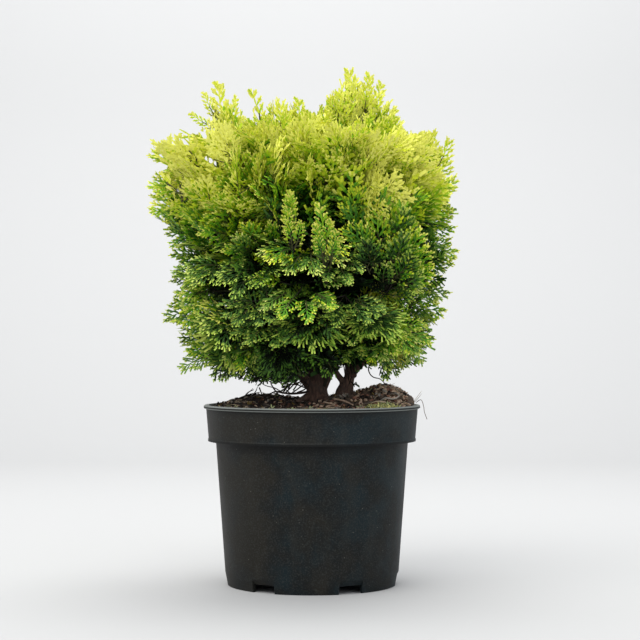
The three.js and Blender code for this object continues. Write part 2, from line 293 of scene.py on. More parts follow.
# A bent limb: rings of points along a path, closed at both ends by a point.
def tube(path, radii, sides=5):
    path = np.array(path, dtype=float)
    radii = np.interp(np.linspace(0, 1, len(path)), np.linspace(0, 1, len(radii)), radii)
    tangents = np.gradient(path, axis=0)
    tangents /= np.linalg.norm(tangents, axis=1)[:, None]
    normal = unit(np.cross(tangents[0], [0.31, 0.9, 0.17]))
    turns = 2 * math.pi * np.arange(sides) / sides
    rings = []
    for place, tangent, radius in zip(path, tangents, radii):
        normal = unit(normal - tangent * (normal @ tangent))
        binormal = np.cross(tangent, normal)
        rings.append(place + radius * (np.cos(turns)[:, None] * normal + np.sin(turns)[:, None] * binormal))
    ends = [path[0] - radii[0] * tangents[0]], [path[-1] + radii[-1] * tangents[-1]]
    points = np.concatenate([*rings, *ends])
    last = len(path) - 1
    faces = []
    for k in range(sides):
        j = (k + 1) % sides
        for row in range(last):
            a, b = row * sides + k, row * sides + j
            faces += [(a, b, b + sides), (a, b + sides, a + sides)]
        faces += [(j, k, len(points) - 2), (last * sides + k, last * sides + j, len(points) - 1)]
    return points, np.array(faces)


# A smooth curve through three or more places.
def curved(places, stations):
    places = np.array(places, dtype=float)
    ends = np.concatenate([[2 * places[0] - places[1]], places, [2 * places[-1] - places[-2]]])
    curve = []
    for t in np.linspace(0, len(places) - 1, stations):
        k = min(int(t), len(places) - 2)
        u = t - k
        p0, p1, p2, p3 = ends[k:k + 4]
        curve.append(0.5 * (2 * p1 + (p2 - p0) * u + (2 * p0 - 5 * p1 + 4 * p2 - p3) * u ** 2
                            + (3 * p1 - p0 - 3 * p2 + p3) * u ** 3))
    return np.array(curve)


# pot

pot = {
    "height": 0.185,
    "lipRadius": 0.112,
    "lipHeight": 0.0034,
    "lipRound": 0.0011,
    "bandTopRadius": 0.1095,
    "bandBottomRadius": 0.107,
    "bandHeight": 0.037,
    "beadHeight": 0.0022,
    "beadProud": 0.0005,
    "wallTopRadius": 0.0994,
    "wallBottomRadius": 0.08975,
    "footRadius": 0.087,
    "footHeight": 0.014,
    "wall": 0.0025,
    "floorHeight": 0.009,
    "padRadius": 0.034,
    "padSlope": 0.006,
    "steps": 144,
    "notchCount": 6,
    "notchTurn": -33.5,
    "notchWidth": 0.026,
    "notchHeight": 0.008,
    "notchRecess": 0.003,
    "edgeRound": 0.0007,
    "clouds": 22,
    "stains": 45,
    "speckle": 700,
    "dust": 120.0,
    # how the clouds shift across the pot: a painted reflection, warmer on the left and bluer on the right
    "reflectionDrift": (-0.1, 0.1, 0.12, -0.12),
    "base": [(0.36, (14, 27, 31)), (0.5, (16, 19, 19)), (0.66, (29, 27, 22))],
    "stain": (38, 36, 31),
    "grain": (54, 57, 55),
    "dustColour": (120, 118, 110),
    # each range: two values of the pattern, then what they give
    "stainRange": (0.5, 0.72, 0, 0.5),
    "grainRange": (0.48, 0.72, 0, 0.5),
    "dustRange": (0.035, 0.07, 0.5, 0),
    "roughRange": (0.3, 0.7, 0.5, 0.64),
    "bump": (0.25, 0.0003),
    # the colour of the painted shade under the band
    "bandShadowColour": (5, 6, 6),
    # each shade: two heights from the band's or lip's foot, then its strength at them
    "bandShade": (-0.010, -0.001, 0, 0.75),
    "bandEdge": 0.0021,
    # the colour of the painted shade on the band just under the lip
    "lipShadowColour": (8, 10, 11),
    "lipShade": (-0.006, -0.001, 0, 0.5),
    # the lip's two edges are lighter, painted highlights that are partly worn: where that starts below the
    # lip's foot, its colour, and its strength up the lip
    "lipStart": 0.0004,
    "lipWornAndLit": (130, 134, 130),
    "lipWearAndHighlight": [(0.0, 0.0), (0.10, 1.0), (0.24, 0.8), (0.34, 0.0), (0.62, 0.0), (0.76, 0.8), (1.0, 1.0)],
    "specular": 0.18,
}


# How far a height has come between two heights that are given from a base.
def heightRange(tree, height, base, low, high, outLow, outHigh):
    return valueRange(tree, height, base + low, base + high, outLow, outHigh)


# Dark moulded plastic: bluish and brownish clouds shifted warmer to the left and bluer to the right as a
# painted reflection, fine speckle, dust, painted shade under the band and under the lip, and a lip whose two
# edges are lighter with painted highlights, partly worn.
def potMaterial():
    material, tree, shader = makeMaterial("mouldedBlackPlastic")
    place = objectPattern(tree)
    clouds = noiseTexture(tree, place, pot["clouds"], 4, 0.6)
    stains = noiseTexture(tree, objectPattern(tree, (1, 1, 0.3)), pot["stains"], 4)
    speckle = noiseTexture(tree, place, pot["speckle"], 2)
    across, height = axesOf(tree, place, "XZ")
    # the clouds shift warmer to the left and bluer to the right: a painted reflection
    reflectionDrift = mathNode(tree, "ADD", clouds, valueRange(tree, across, *pot["reflectionDrift"]))
    base = colourRamp(tree, reflectionDrift, pot["base"])
    stained = mixColours(tree, valueRange(tree, stains, *pot["stainRange"]), base,
                         linearColour(*pot["stain"]))
    grainy = mixColours(tree, valueRange(tree, speckle, *pot["grainRange"]), stained,
                        linearColour(*pot["grain"]))
    dots = addNode(tree, "ShaderNodeTexVoronoi", Scale=pot["dust"], Randomness=1.0)
    tree.links.new(place, dots.inputs["Vector"])
    dusty = mixColours(tree, valueRange(tree, dots.outputs["Distance"], *pot["dustRange"]), grainy,
                       linearColour(*pot["dustColour"]))
    bandFoot, lipFoot = pot["height"] - pot["bandHeight"], pot["height"] - pot["lipHeight"]
    # painted shade under the band, over its bead too
    belowBand = mathNode(tree, "LESS_THAN", height, bandFoot + pot["bandEdge"])
    shaded = mathNode(tree, "MULTIPLY", heightRange(tree, height, bandFoot, *pot["bandShade"]), belowBand)
    shadedColour = mixColours(tree, shaded, dusty, linearColour(*pot["bandShadowColour"]))
    # painted shade on the band just under the lip
    shadedColour = mixColours(tree, heightRange(tree, height, lipFoot, *pot["lipShade"]), shadedColour,
                       linearColour(*pot["lipShadowColour"]))
    # painted highlights, partly worn, along the lip's lower and top edges
    lip = valueRange(tree, height, lipFoot - pot["lipStart"], pot["height"], 0, 1)
    wearAndHighlight = colourRamp(tree, lip, [(share, (value, value, value, 1)) for share, value in pot["lipWearAndHighlight"]])
    colour = mixColours(tree, wearAndHighlight, shadedColour, linearColour(*pot["lipWornAndLit"]))
    tree.links.new(colour, shader.inputs["Base Color"])
    tree.links.new(valueRange(tree, clouds, *pot["roughRange"]), shader.inputs["Roughness"])
    shader.inputs["Specular IOR Level"].default_value = pot["specular"]
    addBump(tree, shader, speckle, *pot["bump"])
    return material


def applyModifiers(piece):
    graph = bpy.context.evaluated_depsgraph_get()
    mesh = bpy.data.meshes.new_from_object(piece.evaluated_get(graph))
    piece.modifiers.clear()
    piece.data = mesh


def spinProfile(profile, steps):
    bm = bmesh.new()
    line = [bm.verts.new((radius, 0, height)) for radius, height in profile]
    edges = [bm.edges.new(pair) for pair in zip(line, line[1:])]
    bmesh.ops.spin(bm, geom=line + edges, cent=(0, 0, 0), axis=(0, 0, 1), angle=2 * math.pi,
                   steps=steps, use_merge=True, use_duplicate=False)
    bmesh.ops.remove_doubles(bm, verts=bm.verts, dist=1e-6)
    bmesh.ops.recalc_face_normals(bm, faces=bm.faces)
    return bm


def potProfile():
    bandFoot = pot["height"] - pot["bandHeight"]
    lipFoot = pot["height"] - pot["lipHeight"]
    lipRound = pot["lipRound"]
    bead = pot["beadHeight"]
    floorTop = pot["floorHeight"] + pot["wall"]
    footInner = pot["footRadius"] - pot["wall"] - 0.001
    padOuter = pot["padRadius"] + pot["padSlope"]
    wall = pot["wall"]
    return [
        (0, 0),
        (pot["padRadius"], 0),
        (padOuter, pot["floorHeight"]),
        (footInner - 0.001, pot["floorHeight"]),
        (footInner, 0),
        (pot["footRadius"], 0),
        (pot["wallBottomRadius"], pot["footHeight"]),
        (pot["wallTopRadius"], bandFoot),
        (pot["bandBottomRadius"] + pot["beadProud"], bandFoot),
        (pot["bandBottomRadius"] + pot["beadProud"], bandFoot + bead),
        (pot["bandBottomRadius"], bandFoot + 1.5 * bead),
        (pot["bandTopRadius"], lipFoot - 0.0006),
        (pot["lipRadius"] - 0.5 * lipRound, lipFoot),
        (pot["lipRadius"], lipFoot + 0.5 * lipRound),
        (pot["lipRadius"], pot["height"] - lipRound),
        (pot["lipRadius"] - lipRound, pot["height"]),
        (pot["bandTopRadius"] - wall, pot["height"]),
        (pot["bandBottomRadius"] - wall, bandFoot + wall),
        (pot["wallTopRadius"] - wall, bandFoot + wall),
        (pot["wallBottomRadius"] - wall, floorTop),
        (padOuter - wall, floorTop),
        (pot["padRadius"] - wall, wall),
        (0, wall),
    ]


# Each drain notch opens under the raised floor, and the wall above it slopes in.
def notchCutters():
    bm = bmesh.new()
    inner, outer = pot["footRadius"] - 0.012, pot["footRadius"] + 0.012
    section = [
        (inner, -0.001),
        (outer, -0.001),
        (outer, pot["footHeight"]),
        (pot["wallBottomRadius"], pot["footHeight"]),
        (pot["footRadius"] - pot["notchRecess"] + 0.001, pot["notchHeight"]),
        (inner, pot["notchHeight"]),
    ]
    for k in range(pot["notchCount"]):
        corners = [bm.verts.new((radius, -pot["notchWidth"] / 2, height)) for radius, height in section]
        face = bm.faces.new(corners)
        swept = bmesh.ops.extrude_face_region(bm, geom=[face])["geom"]
        moved = [item for item in swept if isinstance(item, bmesh.types.BMVert)]
        bmesh.ops.translate(bm, verts=moved, vec=(0, pot["notchWidth"], 0))
        turn = math.radians(pot["notchTurn"] - 90 + k * 360 / pot["notchCount"])
        bmesh.ops.rotate(bm, verts=corners + moved, cent=(0, 0, 0),
                         matrix=Matrix.Rotation(turn, 3, "Z"))
    bmesh.ops.recalc_face_normals(bm, faces=bm.faces)
    return linkMesh("notchCutters", meshFrom("notchCutters", bm))


def makePot():
    bm = spinProfile(potProfile(), pot["steps"])
    piece = linkMesh("nurseryPot", meshFrom("nurseryPot", bm))
    cutters = notchCutters()
    cut = piece.modifiers.new("notches", "BOOLEAN")
    cut.operation = "DIFFERENCE"
    cut.solver = "EXACT"
    cut.object = cutters
    applyModifiers(piece)
    bpy.data.objects.remove(cutters)
    rounded = piece.modifiers.new("softEdges", "BEVEL")
    rounded.width = pot["edgeRound"]
    rounded.segments = 3
    rounded.limit_method = "ANGLE"
    rounded.angle_limit = math.radians(24)
    applyModifiers(piece)
    shadeSmooth(piece.data)
    piece.data.materials.clear()
    piece.data.materials.append(potMaterial())
    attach(piece, "root")
    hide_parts("pot")


makePot()
print("pot made")

# potting mix

soil = {
    "edgeHeight": 0.180,
    "edgeRadius": 0.1060,
    "rings": 84,
    "steps": 220,
    "lump": 0.0016,
    "heaps": [
        {"x": 0.076, "y": 0.020, "height": 0.023, "spread": 0.026},
        {"x": -0.054, "y": 0.022, "height": 0.013, "spread": 0.029},
        {"x": 0.012, "y": 0.0, "height": 0.008, "spread": 0.034},
        {"x": 0.027, "y": -0.004, "height": 0.006, "spread": 0.013},
    ],
    "moist": [(0.32, (20, 14, 11)), (0.5, (44, 32, 25)), (0.62, (70, 50, 38)), (0.78, (104, 80, 60))],
    "dry": [(0.32, (40, 32, 26)), (0.5, (84, 68, 56)), (0.62, (124, 101, 83)), (0.78, (160, 136, 116))],
    "dryFrom": (-0.025, 0.008),
    "gap": 0.0005,
    # scale, detail and roughness of each pattern
    "clods": (190, 6, 0.7),
    "crumbs": (900, 3, 0.6),
    "roughness": 0.92,
    "bump": (0.9, 0.0012),
}


def soilHeight(x, y):
    rise = sum(h["height"] * math.exp(-((x - h["x"]) ** 2 + (y - h["y"]) ** 2) / (2 * h["spread"] ** 2))
               for h in soil["heaps"])
    spot = Vector((x, y, 0))
    lumps = noise.fractal(spot * 95, 0.9, 2.1, 4) + 0.6 * noise.noise(spot * 420)
    return soil["edgeHeight"] + rise + soil["lump"] * lumps


def soilMaterial():
    material, tree, shader = makeMaterial("moistPeatAndBark")
    place = objectPattern(tree)
    clods = noiseTexture(tree, place, *soil["clods"])
    crumbs = noiseTexture(tree, place, *soil["crumbs"])
    moist = colourRamp(tree, clods, soil["moist"])
    [across] = axesOf(tree, place, "X")
    dry = colourRamp(tree, clods, soil["dry"])
    worn = mixColours(tree, valueRange(tree, across, *soil["dryFrom"], 0, 1), moist, dry)
    tree.links.new(worn, shader.inputs["Base Color"])
    shader.inputs["Roughness"].default_value = soil["roughness"]
    addBump(tree, shader, crumbs, *soil["bump"])
    return material


def makeSoil():
    outer = soil["edgeRadius"]
    floorTop = pot["floorHeight"] + pot["wall"]
    gap = soil["gap"]
    bandFoot = pot["height"] - pot["bandHeight"] + pot["wall"]
    ring = [(outer * k / soil["rings"], soil["edgeHeight"]) for k in range(soil["rings"] + 1)]
    below = [
        (pot["bandBottomRadius"] - pot["wall"] - gap, bandFoot + gap),
        (pot["wallTopRadius"] - pot["wall"] - gap, bandFoot + gap),
        (pot["wallBottomRadius"] - pot["wall"] - gap, floorTop + gap),
        (0, floorTop + gap),
    ]
    bm = spinProfile(ring + below, soil["steps"])
    for vert in bm.verts:
        if abs(vert.co.z - soil["edgeHeight"]) < 1e-6:
            vert.co.z = soilHeight(vert.co.x, vert.co.y)
    mesh = meshFrom("pottingMix", bm)
    shadeSmooth(mesh)
    mesh.materials.append(soilMaterial())
    piece = linkMesh("pottingMix", mesh)
    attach(piece, "root")
    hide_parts("potting_mix")


makeSoil()
print("potting mix made")

# trunk, stem and boughs

wood = {
    "voxel": 0.0009,
    "smoothing": 6,
    "relief": 0.00055,
    "fibres": (330, 330, 46),
    "knots": 60,
    "bark": [(0.3, (34, 24, 19)), (0.5, (76, 54, 43)), (0.72, (120, 93, 76))],
    "aged": (58, 52, 46),
    "agedRange": (0.45, 0.7, 0, 0.6),
    "stretch": (1, 1, 0.22),
    # scale, detail and roughness of each pattern
    "grain": (420, 6, 0.65),
    "patches": (70, 3),
    "roughness": 0.88,
    "bump": (0.6, 0.0006),
}
limbNames = [name for name in nodes if slotOf[name] == "bark"]
# Low forks and root spurs that are fused with the stems: places in metres, then radii.
forks = [
    ([(0.002, -0.008, 0.200), (-0.009, -0.014, 0.213), (-0.022, -0.022, 0.226), (-0.040, -0.030, 0.240)],
     [0.0062, 0.0052, 0.0044, 0.003]),
    ([(0.010, -0.006, 0.202), (0.017, -0.010, 0.216), (0.026, -0.020, 0.232), (0.034, -0.034, 0.250)],
     [0.0060, 0.0050, 0.0042, 0.0028]),
    ([(0.006, 0.000, 0.204), (0.004, 0.014, 0.222), (-0.004, 0.030, 0.244)], [0.0055, 0.0048, 0.0030]),
    ([(0.035, 0.000, 0.205), (0.028, -0.004, 0.214), (0.020, -0.008, 0.227)], [0.0042, 0.0034, 0.0026]),
    ([(0.027, -0.003, 0.192), (0.031, -0.002, 0.202), (0.038, -0.001, 0.214)], [0.0052, 0.0050, 0.0040]),
    ([(0.040, 0.003, 0.214), (0.050, -0.006, 0.226), (0.064, -0.018, 0.238)], [0.0042, 0.0036, 0.0024]),
    ([(0.001, -0.010, 0.197), (-0.008, -0.016, 0.1925), (-0.016, -0.020, 0.189)], [0.0046, 0.0034, 0.0018]),
    ([(0.010, -0.011, 0.196), (0.014, -0.019, 0.1915), (0.017, -0.026, 0.188)], [0.0042, 0.0032, 0.0018]),
    ([(0.033, -0.002, 0.197), (0.027, -0.007, 0.193), (0.022, -0.011, 0.189)], [0.0036, 0.0026, 0.0014]),
    ([(0.040, -0.001, 0.197), (0.047, -0.006, 0.193), (0.053, -0.010, 0.190)], [0.0034, 0.0026, 0.0014]),
]


def barkMaterial():
    material, tree, shader = makeMaterial("fibrousBark")
    fibres = noiseTexture(tree, objectPattern(tree, wood["stretch"]), *wood["grain"])
    patches = noiseTexture(tree, objectPattern(tree), *wood["patches"])
    bark = colourRamp(tree, fibres, wood["bark"])
    aged = mixColours(tree, valueRange(tree, patches, *wood["agedRange"]), bark, linearColour(*wood["aged"]))
    tree.links.new(aged, shader.inputs["Base Color"])
    shader.inputs["Roughness"].default_value = wood["roughness"]
    addBump(tree, shader, fibres, *wood["bump"])
    return material


def mergedCopy(names):
    bm = bmesh.new()
    for name in names:
        bm.from_mesh(nodes[name].data)
    bmesh.ops.remove_doubles(bm, verts=bm.verts, dist=1e-6)
    return bm


# The limbs are fused, smoothed, and given the long fibres and dents of the bark.
def makeWood():
    bm = mergedCopy(limbNames)
    for places, radii in forks:
        points, faces = tube(curved(places, 9), radii, 9)
        corners = [bm.verts.new(point) for point in points]
        for face in faces:
            bm.faces.new([corners[k] for k in face])
    piece = linkMesh("trunkAndBoughs", meshFrom("trunkAndBoughs", bm))
    fused = piece.modifiers.new("fused", "REMESH")
    fused.mode = "VOXEL"
    fused.voxel_size = wood["voxel"]
    applyModifiers(piece)
    bm = bmesh.new()
    bm.from_mesh(piece.data)
    for _ in range(wood["smoothing"]):
        bmesh.ops.smooth_vert(bm, verts=bm.verts, factor=0.5,
                              use_axis_x=True, use_axis_y=True, use_axis_z=True)
    bm.normal_update()
    stretch = Vector(wood["fibres"])
    for vert in bm.verts:
        spot = Vector(a * b for a, b in zip(vert.co, stretch))
        ridges = abs(noise.noise(spot)) - 0.3 + 0.5 * noise.noise(vert.co * wood["knots"])
        vert.co += vert.normal * wood["relief"] * ridges
    bm.to_mesh(piece.data)
    bm.free()
    shadeSmooth(piece.data)
    piece.data.materials.clear()
    piece.data.materials.append(barkMaterial())
    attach(piece, "root")
    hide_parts(*limbNames)


makeWood()
print("trunk and boughs made")

# foliage: sprays of blunt scale-leaved fingers

crown = {
    "axis": (-0.006, 0.0),
    "foot": 0.205,
    "middle": 0.36,
    "top": 0.535,
    "seed": 12,
}
# Reach, step, finger, width and web are shares of the frond's length, and angles are in degrees. The web is
# the width of a branch's own scales. A branch carries no fingers before the share "bare" of its reach, they
# stand off it by "lean", and none of its own scales is darker than "least" of the way from stalk to tip.
frondDefaults = {"lean": (20, 32), "bare": 0.0, "least": 0.0, "end": "finger"}
frondShapes = {
    "spray": {"count": 9, "branches": 10, "span": (0.10, 0.90), "angles": (50, 24), "reach": 0.50,
              "taper": 0.62, "step": 0.082, "finger": 0.140, "width": 0.040, "web": 0.054},
    "plume": {"count": 6, "branches": 9, "span": (0.16, 0.90), "angles": (44, 24), "reach": 0.42,
              "taper": 0.60, "step": 0.080, "finger": 0.140, "width": 0.042, "web": 0.046},
    "slim": {"count": 6, "branches": 12, "span": (0.14, 0.93), "angles": (42, 26), "reach": 0.20,
             "taper": 0.55, "step": 0.080, "finger": 0.115, "width": 0.040, "web": 0.044, "lean": (18, 30)},
    "fine": {"count": 9, "branches": 9, "span": (0.08, 0.87), "angles": (50, 22), "reach": 0.54,
             "taper": 0.62, "step": 0.108, "finger": 0.200, "width": 0.042, "web": 0.046, "lean": (14, 26),
             "least": 0.2, "end": "club"},
    "shell": {"count": 8, "branches": 9, "span": (0.02, 0.56), "angles": (46, 6), "reach": 0.66,
              "taper": 0.90, "step": 0.140, "finger": 0.320, "width": 0.045, "web": 0.038, "lean": (8, 18),
              "bare": 0.25, "least": 0.35, "end": "club"},
    "comb": {"count": 8, "branches": 15, "span": (0.03, 0.93), "angles": (58, 24), "reach": 0.34,
             "taper": 0.42, "step": 0.180, "finger": 0.150, "width": 0.047, "web": 0.044, "lean": (8, 18),
             "bare": 0.90, "least": 0.5, "end": "club"},
    "coarse": {"count": 5, "branches": 7, "span": (0.13, 0.89), "angles": (50, 26), "reach": 0.54,
               "taper": 0.62, "step": 0.110, "finger": 0.180, "width": 0.048, "web": 0.060},
    "rough": {"count": 4, "branches": 6, "span": (0.16, 0.88), "angles": (50, 26), "reach": 0.54,
              "taper": 0.62, "step": 0.160, "finger": 0.240, "width": 0.070, "web": 0.080},
}
# For each kind of lobe: where along it the middle lies, half widths there and at the end, and how much darker
# its base is painted than its end, as painted shade.
lobeForms = {
    "finger": (0.42, 0.50, 0.38, 1.2),
    "club": (0.50, 0.38, 0.46, 0.6),
    "web": (0.45, 0.50, 0.24, 0.3),
    "stalk": (0.42, 0.50, 0.38, 0.0),
}
spine = {"lobes": 5, "length": 0.86, "sway": (-0.06, 0.06)}
branch = {"curl": (6, 20), "pitch": (-0.14, 0.14), "stalkBelow": 0.12, "fingerLength": (0.75, 1.1),
          "fingerRise": 0.008, "ridge": 0.28}
# Points on a mass's skin: tries per point kept, how they face out, and the open air that they need.
skin = {"tries": 6, "lift": 0.9, "facing": 0.05, "start": 0.0001, "open": 0.014}
# The low entries are for fans low in the crown: how many fronds, how often by height, which shapes, and
# shifts in tone with their odds. "tips" are factors on how much lighter a fan's ends are, partly their own
# yellow colour and partly painted highlight, with their odds.
fans = {
    "spacing": 0.0320,
    "count": (4, 7),
    "lowCount": (3, 5),
    "spread": (34, 56),
    "reach": (0.045, 0.060),
    "dome": 0.42,
    "slack": [(0.0, 0.004), (0.72, 0.004), (0.9, -0.012)],
    "clear": 0.009,
    "lowShare": [(0.42, 1.0), (0.6, 0.0)],
    "lowKinds": {"comb": 0.50, "shell": 0.30, "fine": 0.20},
    "lowShift": ((-0.5, 1.7), (0.66, 0.34)),
    "tips": ((0.55, 0.85, 1.3), (0.42, 0.36, 0.22)),
    "shortest": 0.86,
    "fillerApart": 0.016,
    "rootShare": (0.8, 0.98),
    "sink": 0.006,
}
placedFans = {"tips": 1.1, "shortest": 0.96}
# Each layer's tone is a painted shade: the deeper layers are darker.
layers = {
    "filler": {"shape": "fine", "spacing": 0.0215, "depth": (-0.001, 0.008), "tone": -0.7,
               "length": (0.042, 0.056)},
    "under": {"shape": "coarse", "spacing": 0.0250, "depth": (0.010, 0.020), "tone": -2.0,
              "length": (0.044, 0.060)},
    "inner": {"shape": "rough", "spacing": 0.0270, "depth": (0.030, 0.058), "tone": -3.6,
              "length": (0.050, 0.064)},
}
# the core fronds' tone is a painted shade
core = {"count": 340, "share": (0.42, 0.70), "length": (0.050, 0.064), "tone": -3.6, "lowest": 0.245}
# Each palette holds lit and shaded copies of one leaf: from painted deep shade, through the leaf's own
# colour, to painted highlight.
leafTones = {
    "golden": [
        (10, 26, 8), (20, 48, 11), (36, 80, 14), (60, 114, 18), (90, 149, 22), (131, 176, 23), (169, 196, 26),
        (201, 211, 48), (227, 227, 104),
    ],
    "green": [
        (10, 20, 7), (20, 38, 12), (35, 64, 20), (60, 99, 28), (93, 136, 38), (130, 163, 50), (160, 184, 68),
        (186, 200, 90), (210, 215, 120),
    ],
}
# Share of golden fronds by height, and what each tone over the middle one adds.
goldenShare = [(0.36, 0.0), (0.62, 1.0)]
goldenGain = {"above": 4.4, "gain": 0.9}
leaves = {"toneNoise": 0.35, "edgeMiddle": 0.45, "stalkAbove": 1.5, "roughness": 0.6, "dullTones": 3,
          "dull": 0.15, "glossy": 0.35}
stalkTone = ("leafStalkOlive", (62, 64, 24))
lift = [(0.0, -16), (0.2, -12), (0.4, 4), (0.55, 20), (0.7, 38), (0.85, 58), (1.0, 78)]
droop = [(0.0, 0.5), (0.3, 0.55), (0.6, 0.35), (0.85, 0.1), (1.0, -0.1)]
# Degrees, and shares of the foliage that is raised or lies flat.
stance = {
    "wander": 0.3,
    "sway": 12,
    "raised": 26,
    "raisedShare": 0.25,
    "steepest": 86,
    "lowBelow": 0.45,
    "flatShare": {"low": 0.68, "high": 0.5},
    "flatRoll": (0, 22),
    "edgeRoll": (76, 18),
    "droopSway": 0.15,
}
# rise: painted light on each mass's top and painted shade on its underside, stronger higher up; patch: random
# tone; inside: the inner layers' painted shade, less of it higher up
toneMix = {"rise": (1.2, 0.6), "patch": 1.3, "patchScale": 22, "inside": (1.2, 0.6)}
# Tone by height: the upper crown's golden colour together with painted light from above and painted shade low
# down. Tip tone: how much lighter the fans' ends are, partly their own yellow colour and partly painted
# highlight.
toneByHeight = [(0.0, 2.5), (0.25, 2.3), (0.42, 2.8), (0.56, 4.6), (0.66, 6.1), (0.85, 7.0), (1.0, 7.6)]
tipTone = [(0.0, 4.3), (0.42, 4.0), (0.6, 3.4), (0.8, 3.2), (1.0, 2.8)]
# Broad places of painted light and shade on the front: across, height, radius (metres) and the shift in tone.
toneSpots = [
    (-0.080, 0.384, 0.038, 2.6), (-0.019, 0.393, 0.022, -0.8), (0.072, 0.401, 0.025, 1.1),
    (0.045, 0.328, 0.034, -1.9), (0.034, 0.360, 0.027, -2.2), (0.094, 0.350, 0.025, -0.8),
    (-0.072, 0.290, 0.022, -1.7), (0.018, 0.293, 0.022, -1.7), (-0.010, 0.317, 0.022, 2.2),
    (0.088, 0.246, 0.034, 3.0), (-0.138, 0.442, 0.036, 1.4), (0.112, 0.366, 0.022, -1.3),
    (-0.122, 0.290, 0.040, 2.8), (0.010, 0.240, 0.030, 0.8), (-0.031, 0.421, 0.032, -0.9),
    (0.086, 0.430, 0.036, 2.0), (0.056, 0.470, 0.024, -1.0), (0.004, 0.432, 0.032, 1.6),
    (0.116, 0.284, 0.026, 2.6), (-0.108, 0.446, 0.034, 1.1), (-0.155, 0.400, 0.040, 0.8),
    (0.140, 0.408, 0.036, 1.1), (-0.028, 0.228, 0.020, -1.4), (-0.029, 0.272, 0.020, -1.2),
    (-0.099, 0.318, 0.018, -0.8), (0.088, 0.338, 0.022, 1.2), (0.065, 0.296, 0.020, -1.8),
    (-0.124, 0.252, 0.022, 2.2), (-0.066, 0.434, 0.028, 1.0), (-0.099, 0.368, 0.020, 1.6),
    (0.044, 0.342, 0.018, -1.2), (-0.098, 0.272, 0.018, -1.3), (0.018, 0.392, 0.018, 1.2),
]
cornerZone = {"below": 0.265, "beyond": 0.095, "blend": 0.03, "inset": 0.016}
# Gaps that the sky shows through, as cones from the front: across, height and radius at the pot's axis, in
# millimetres.
skyGaps = [
    (-110, 440, 1.8), (-105, 438, 2.3), (-99, 434, 2.7), (-94, 430, 1.9), (-121, 471, 4.7), (-133, 476, 5.2),
    (-112, 465, 2.6), (-131, 458, 3.1), (-67, 497, 6.7), (-65, 487, 4.1), (-1, 498, 6.2), (9, 502, 5.2),
    (4, 492, 3.1), (21, 520, 7.3), (100, 473, 4.1), (109, 471, 4.1), (152, 397, 8.5), (-154, 432, 3.1),
    (-158, 466, 6.2), (-141, 469, 3.1), (-91, 286, 2.3), (-86, 283, 1.5),
    (49.5, 213, 5), (57, 216, 6), (66, 218, 4.5), (32, 219.5, 3), (36, 223, 2),
]
facings = {"front": (0, -1, 0.1), "up": (0, 0, 1), "slant": (0, -0.7, 0.7)}
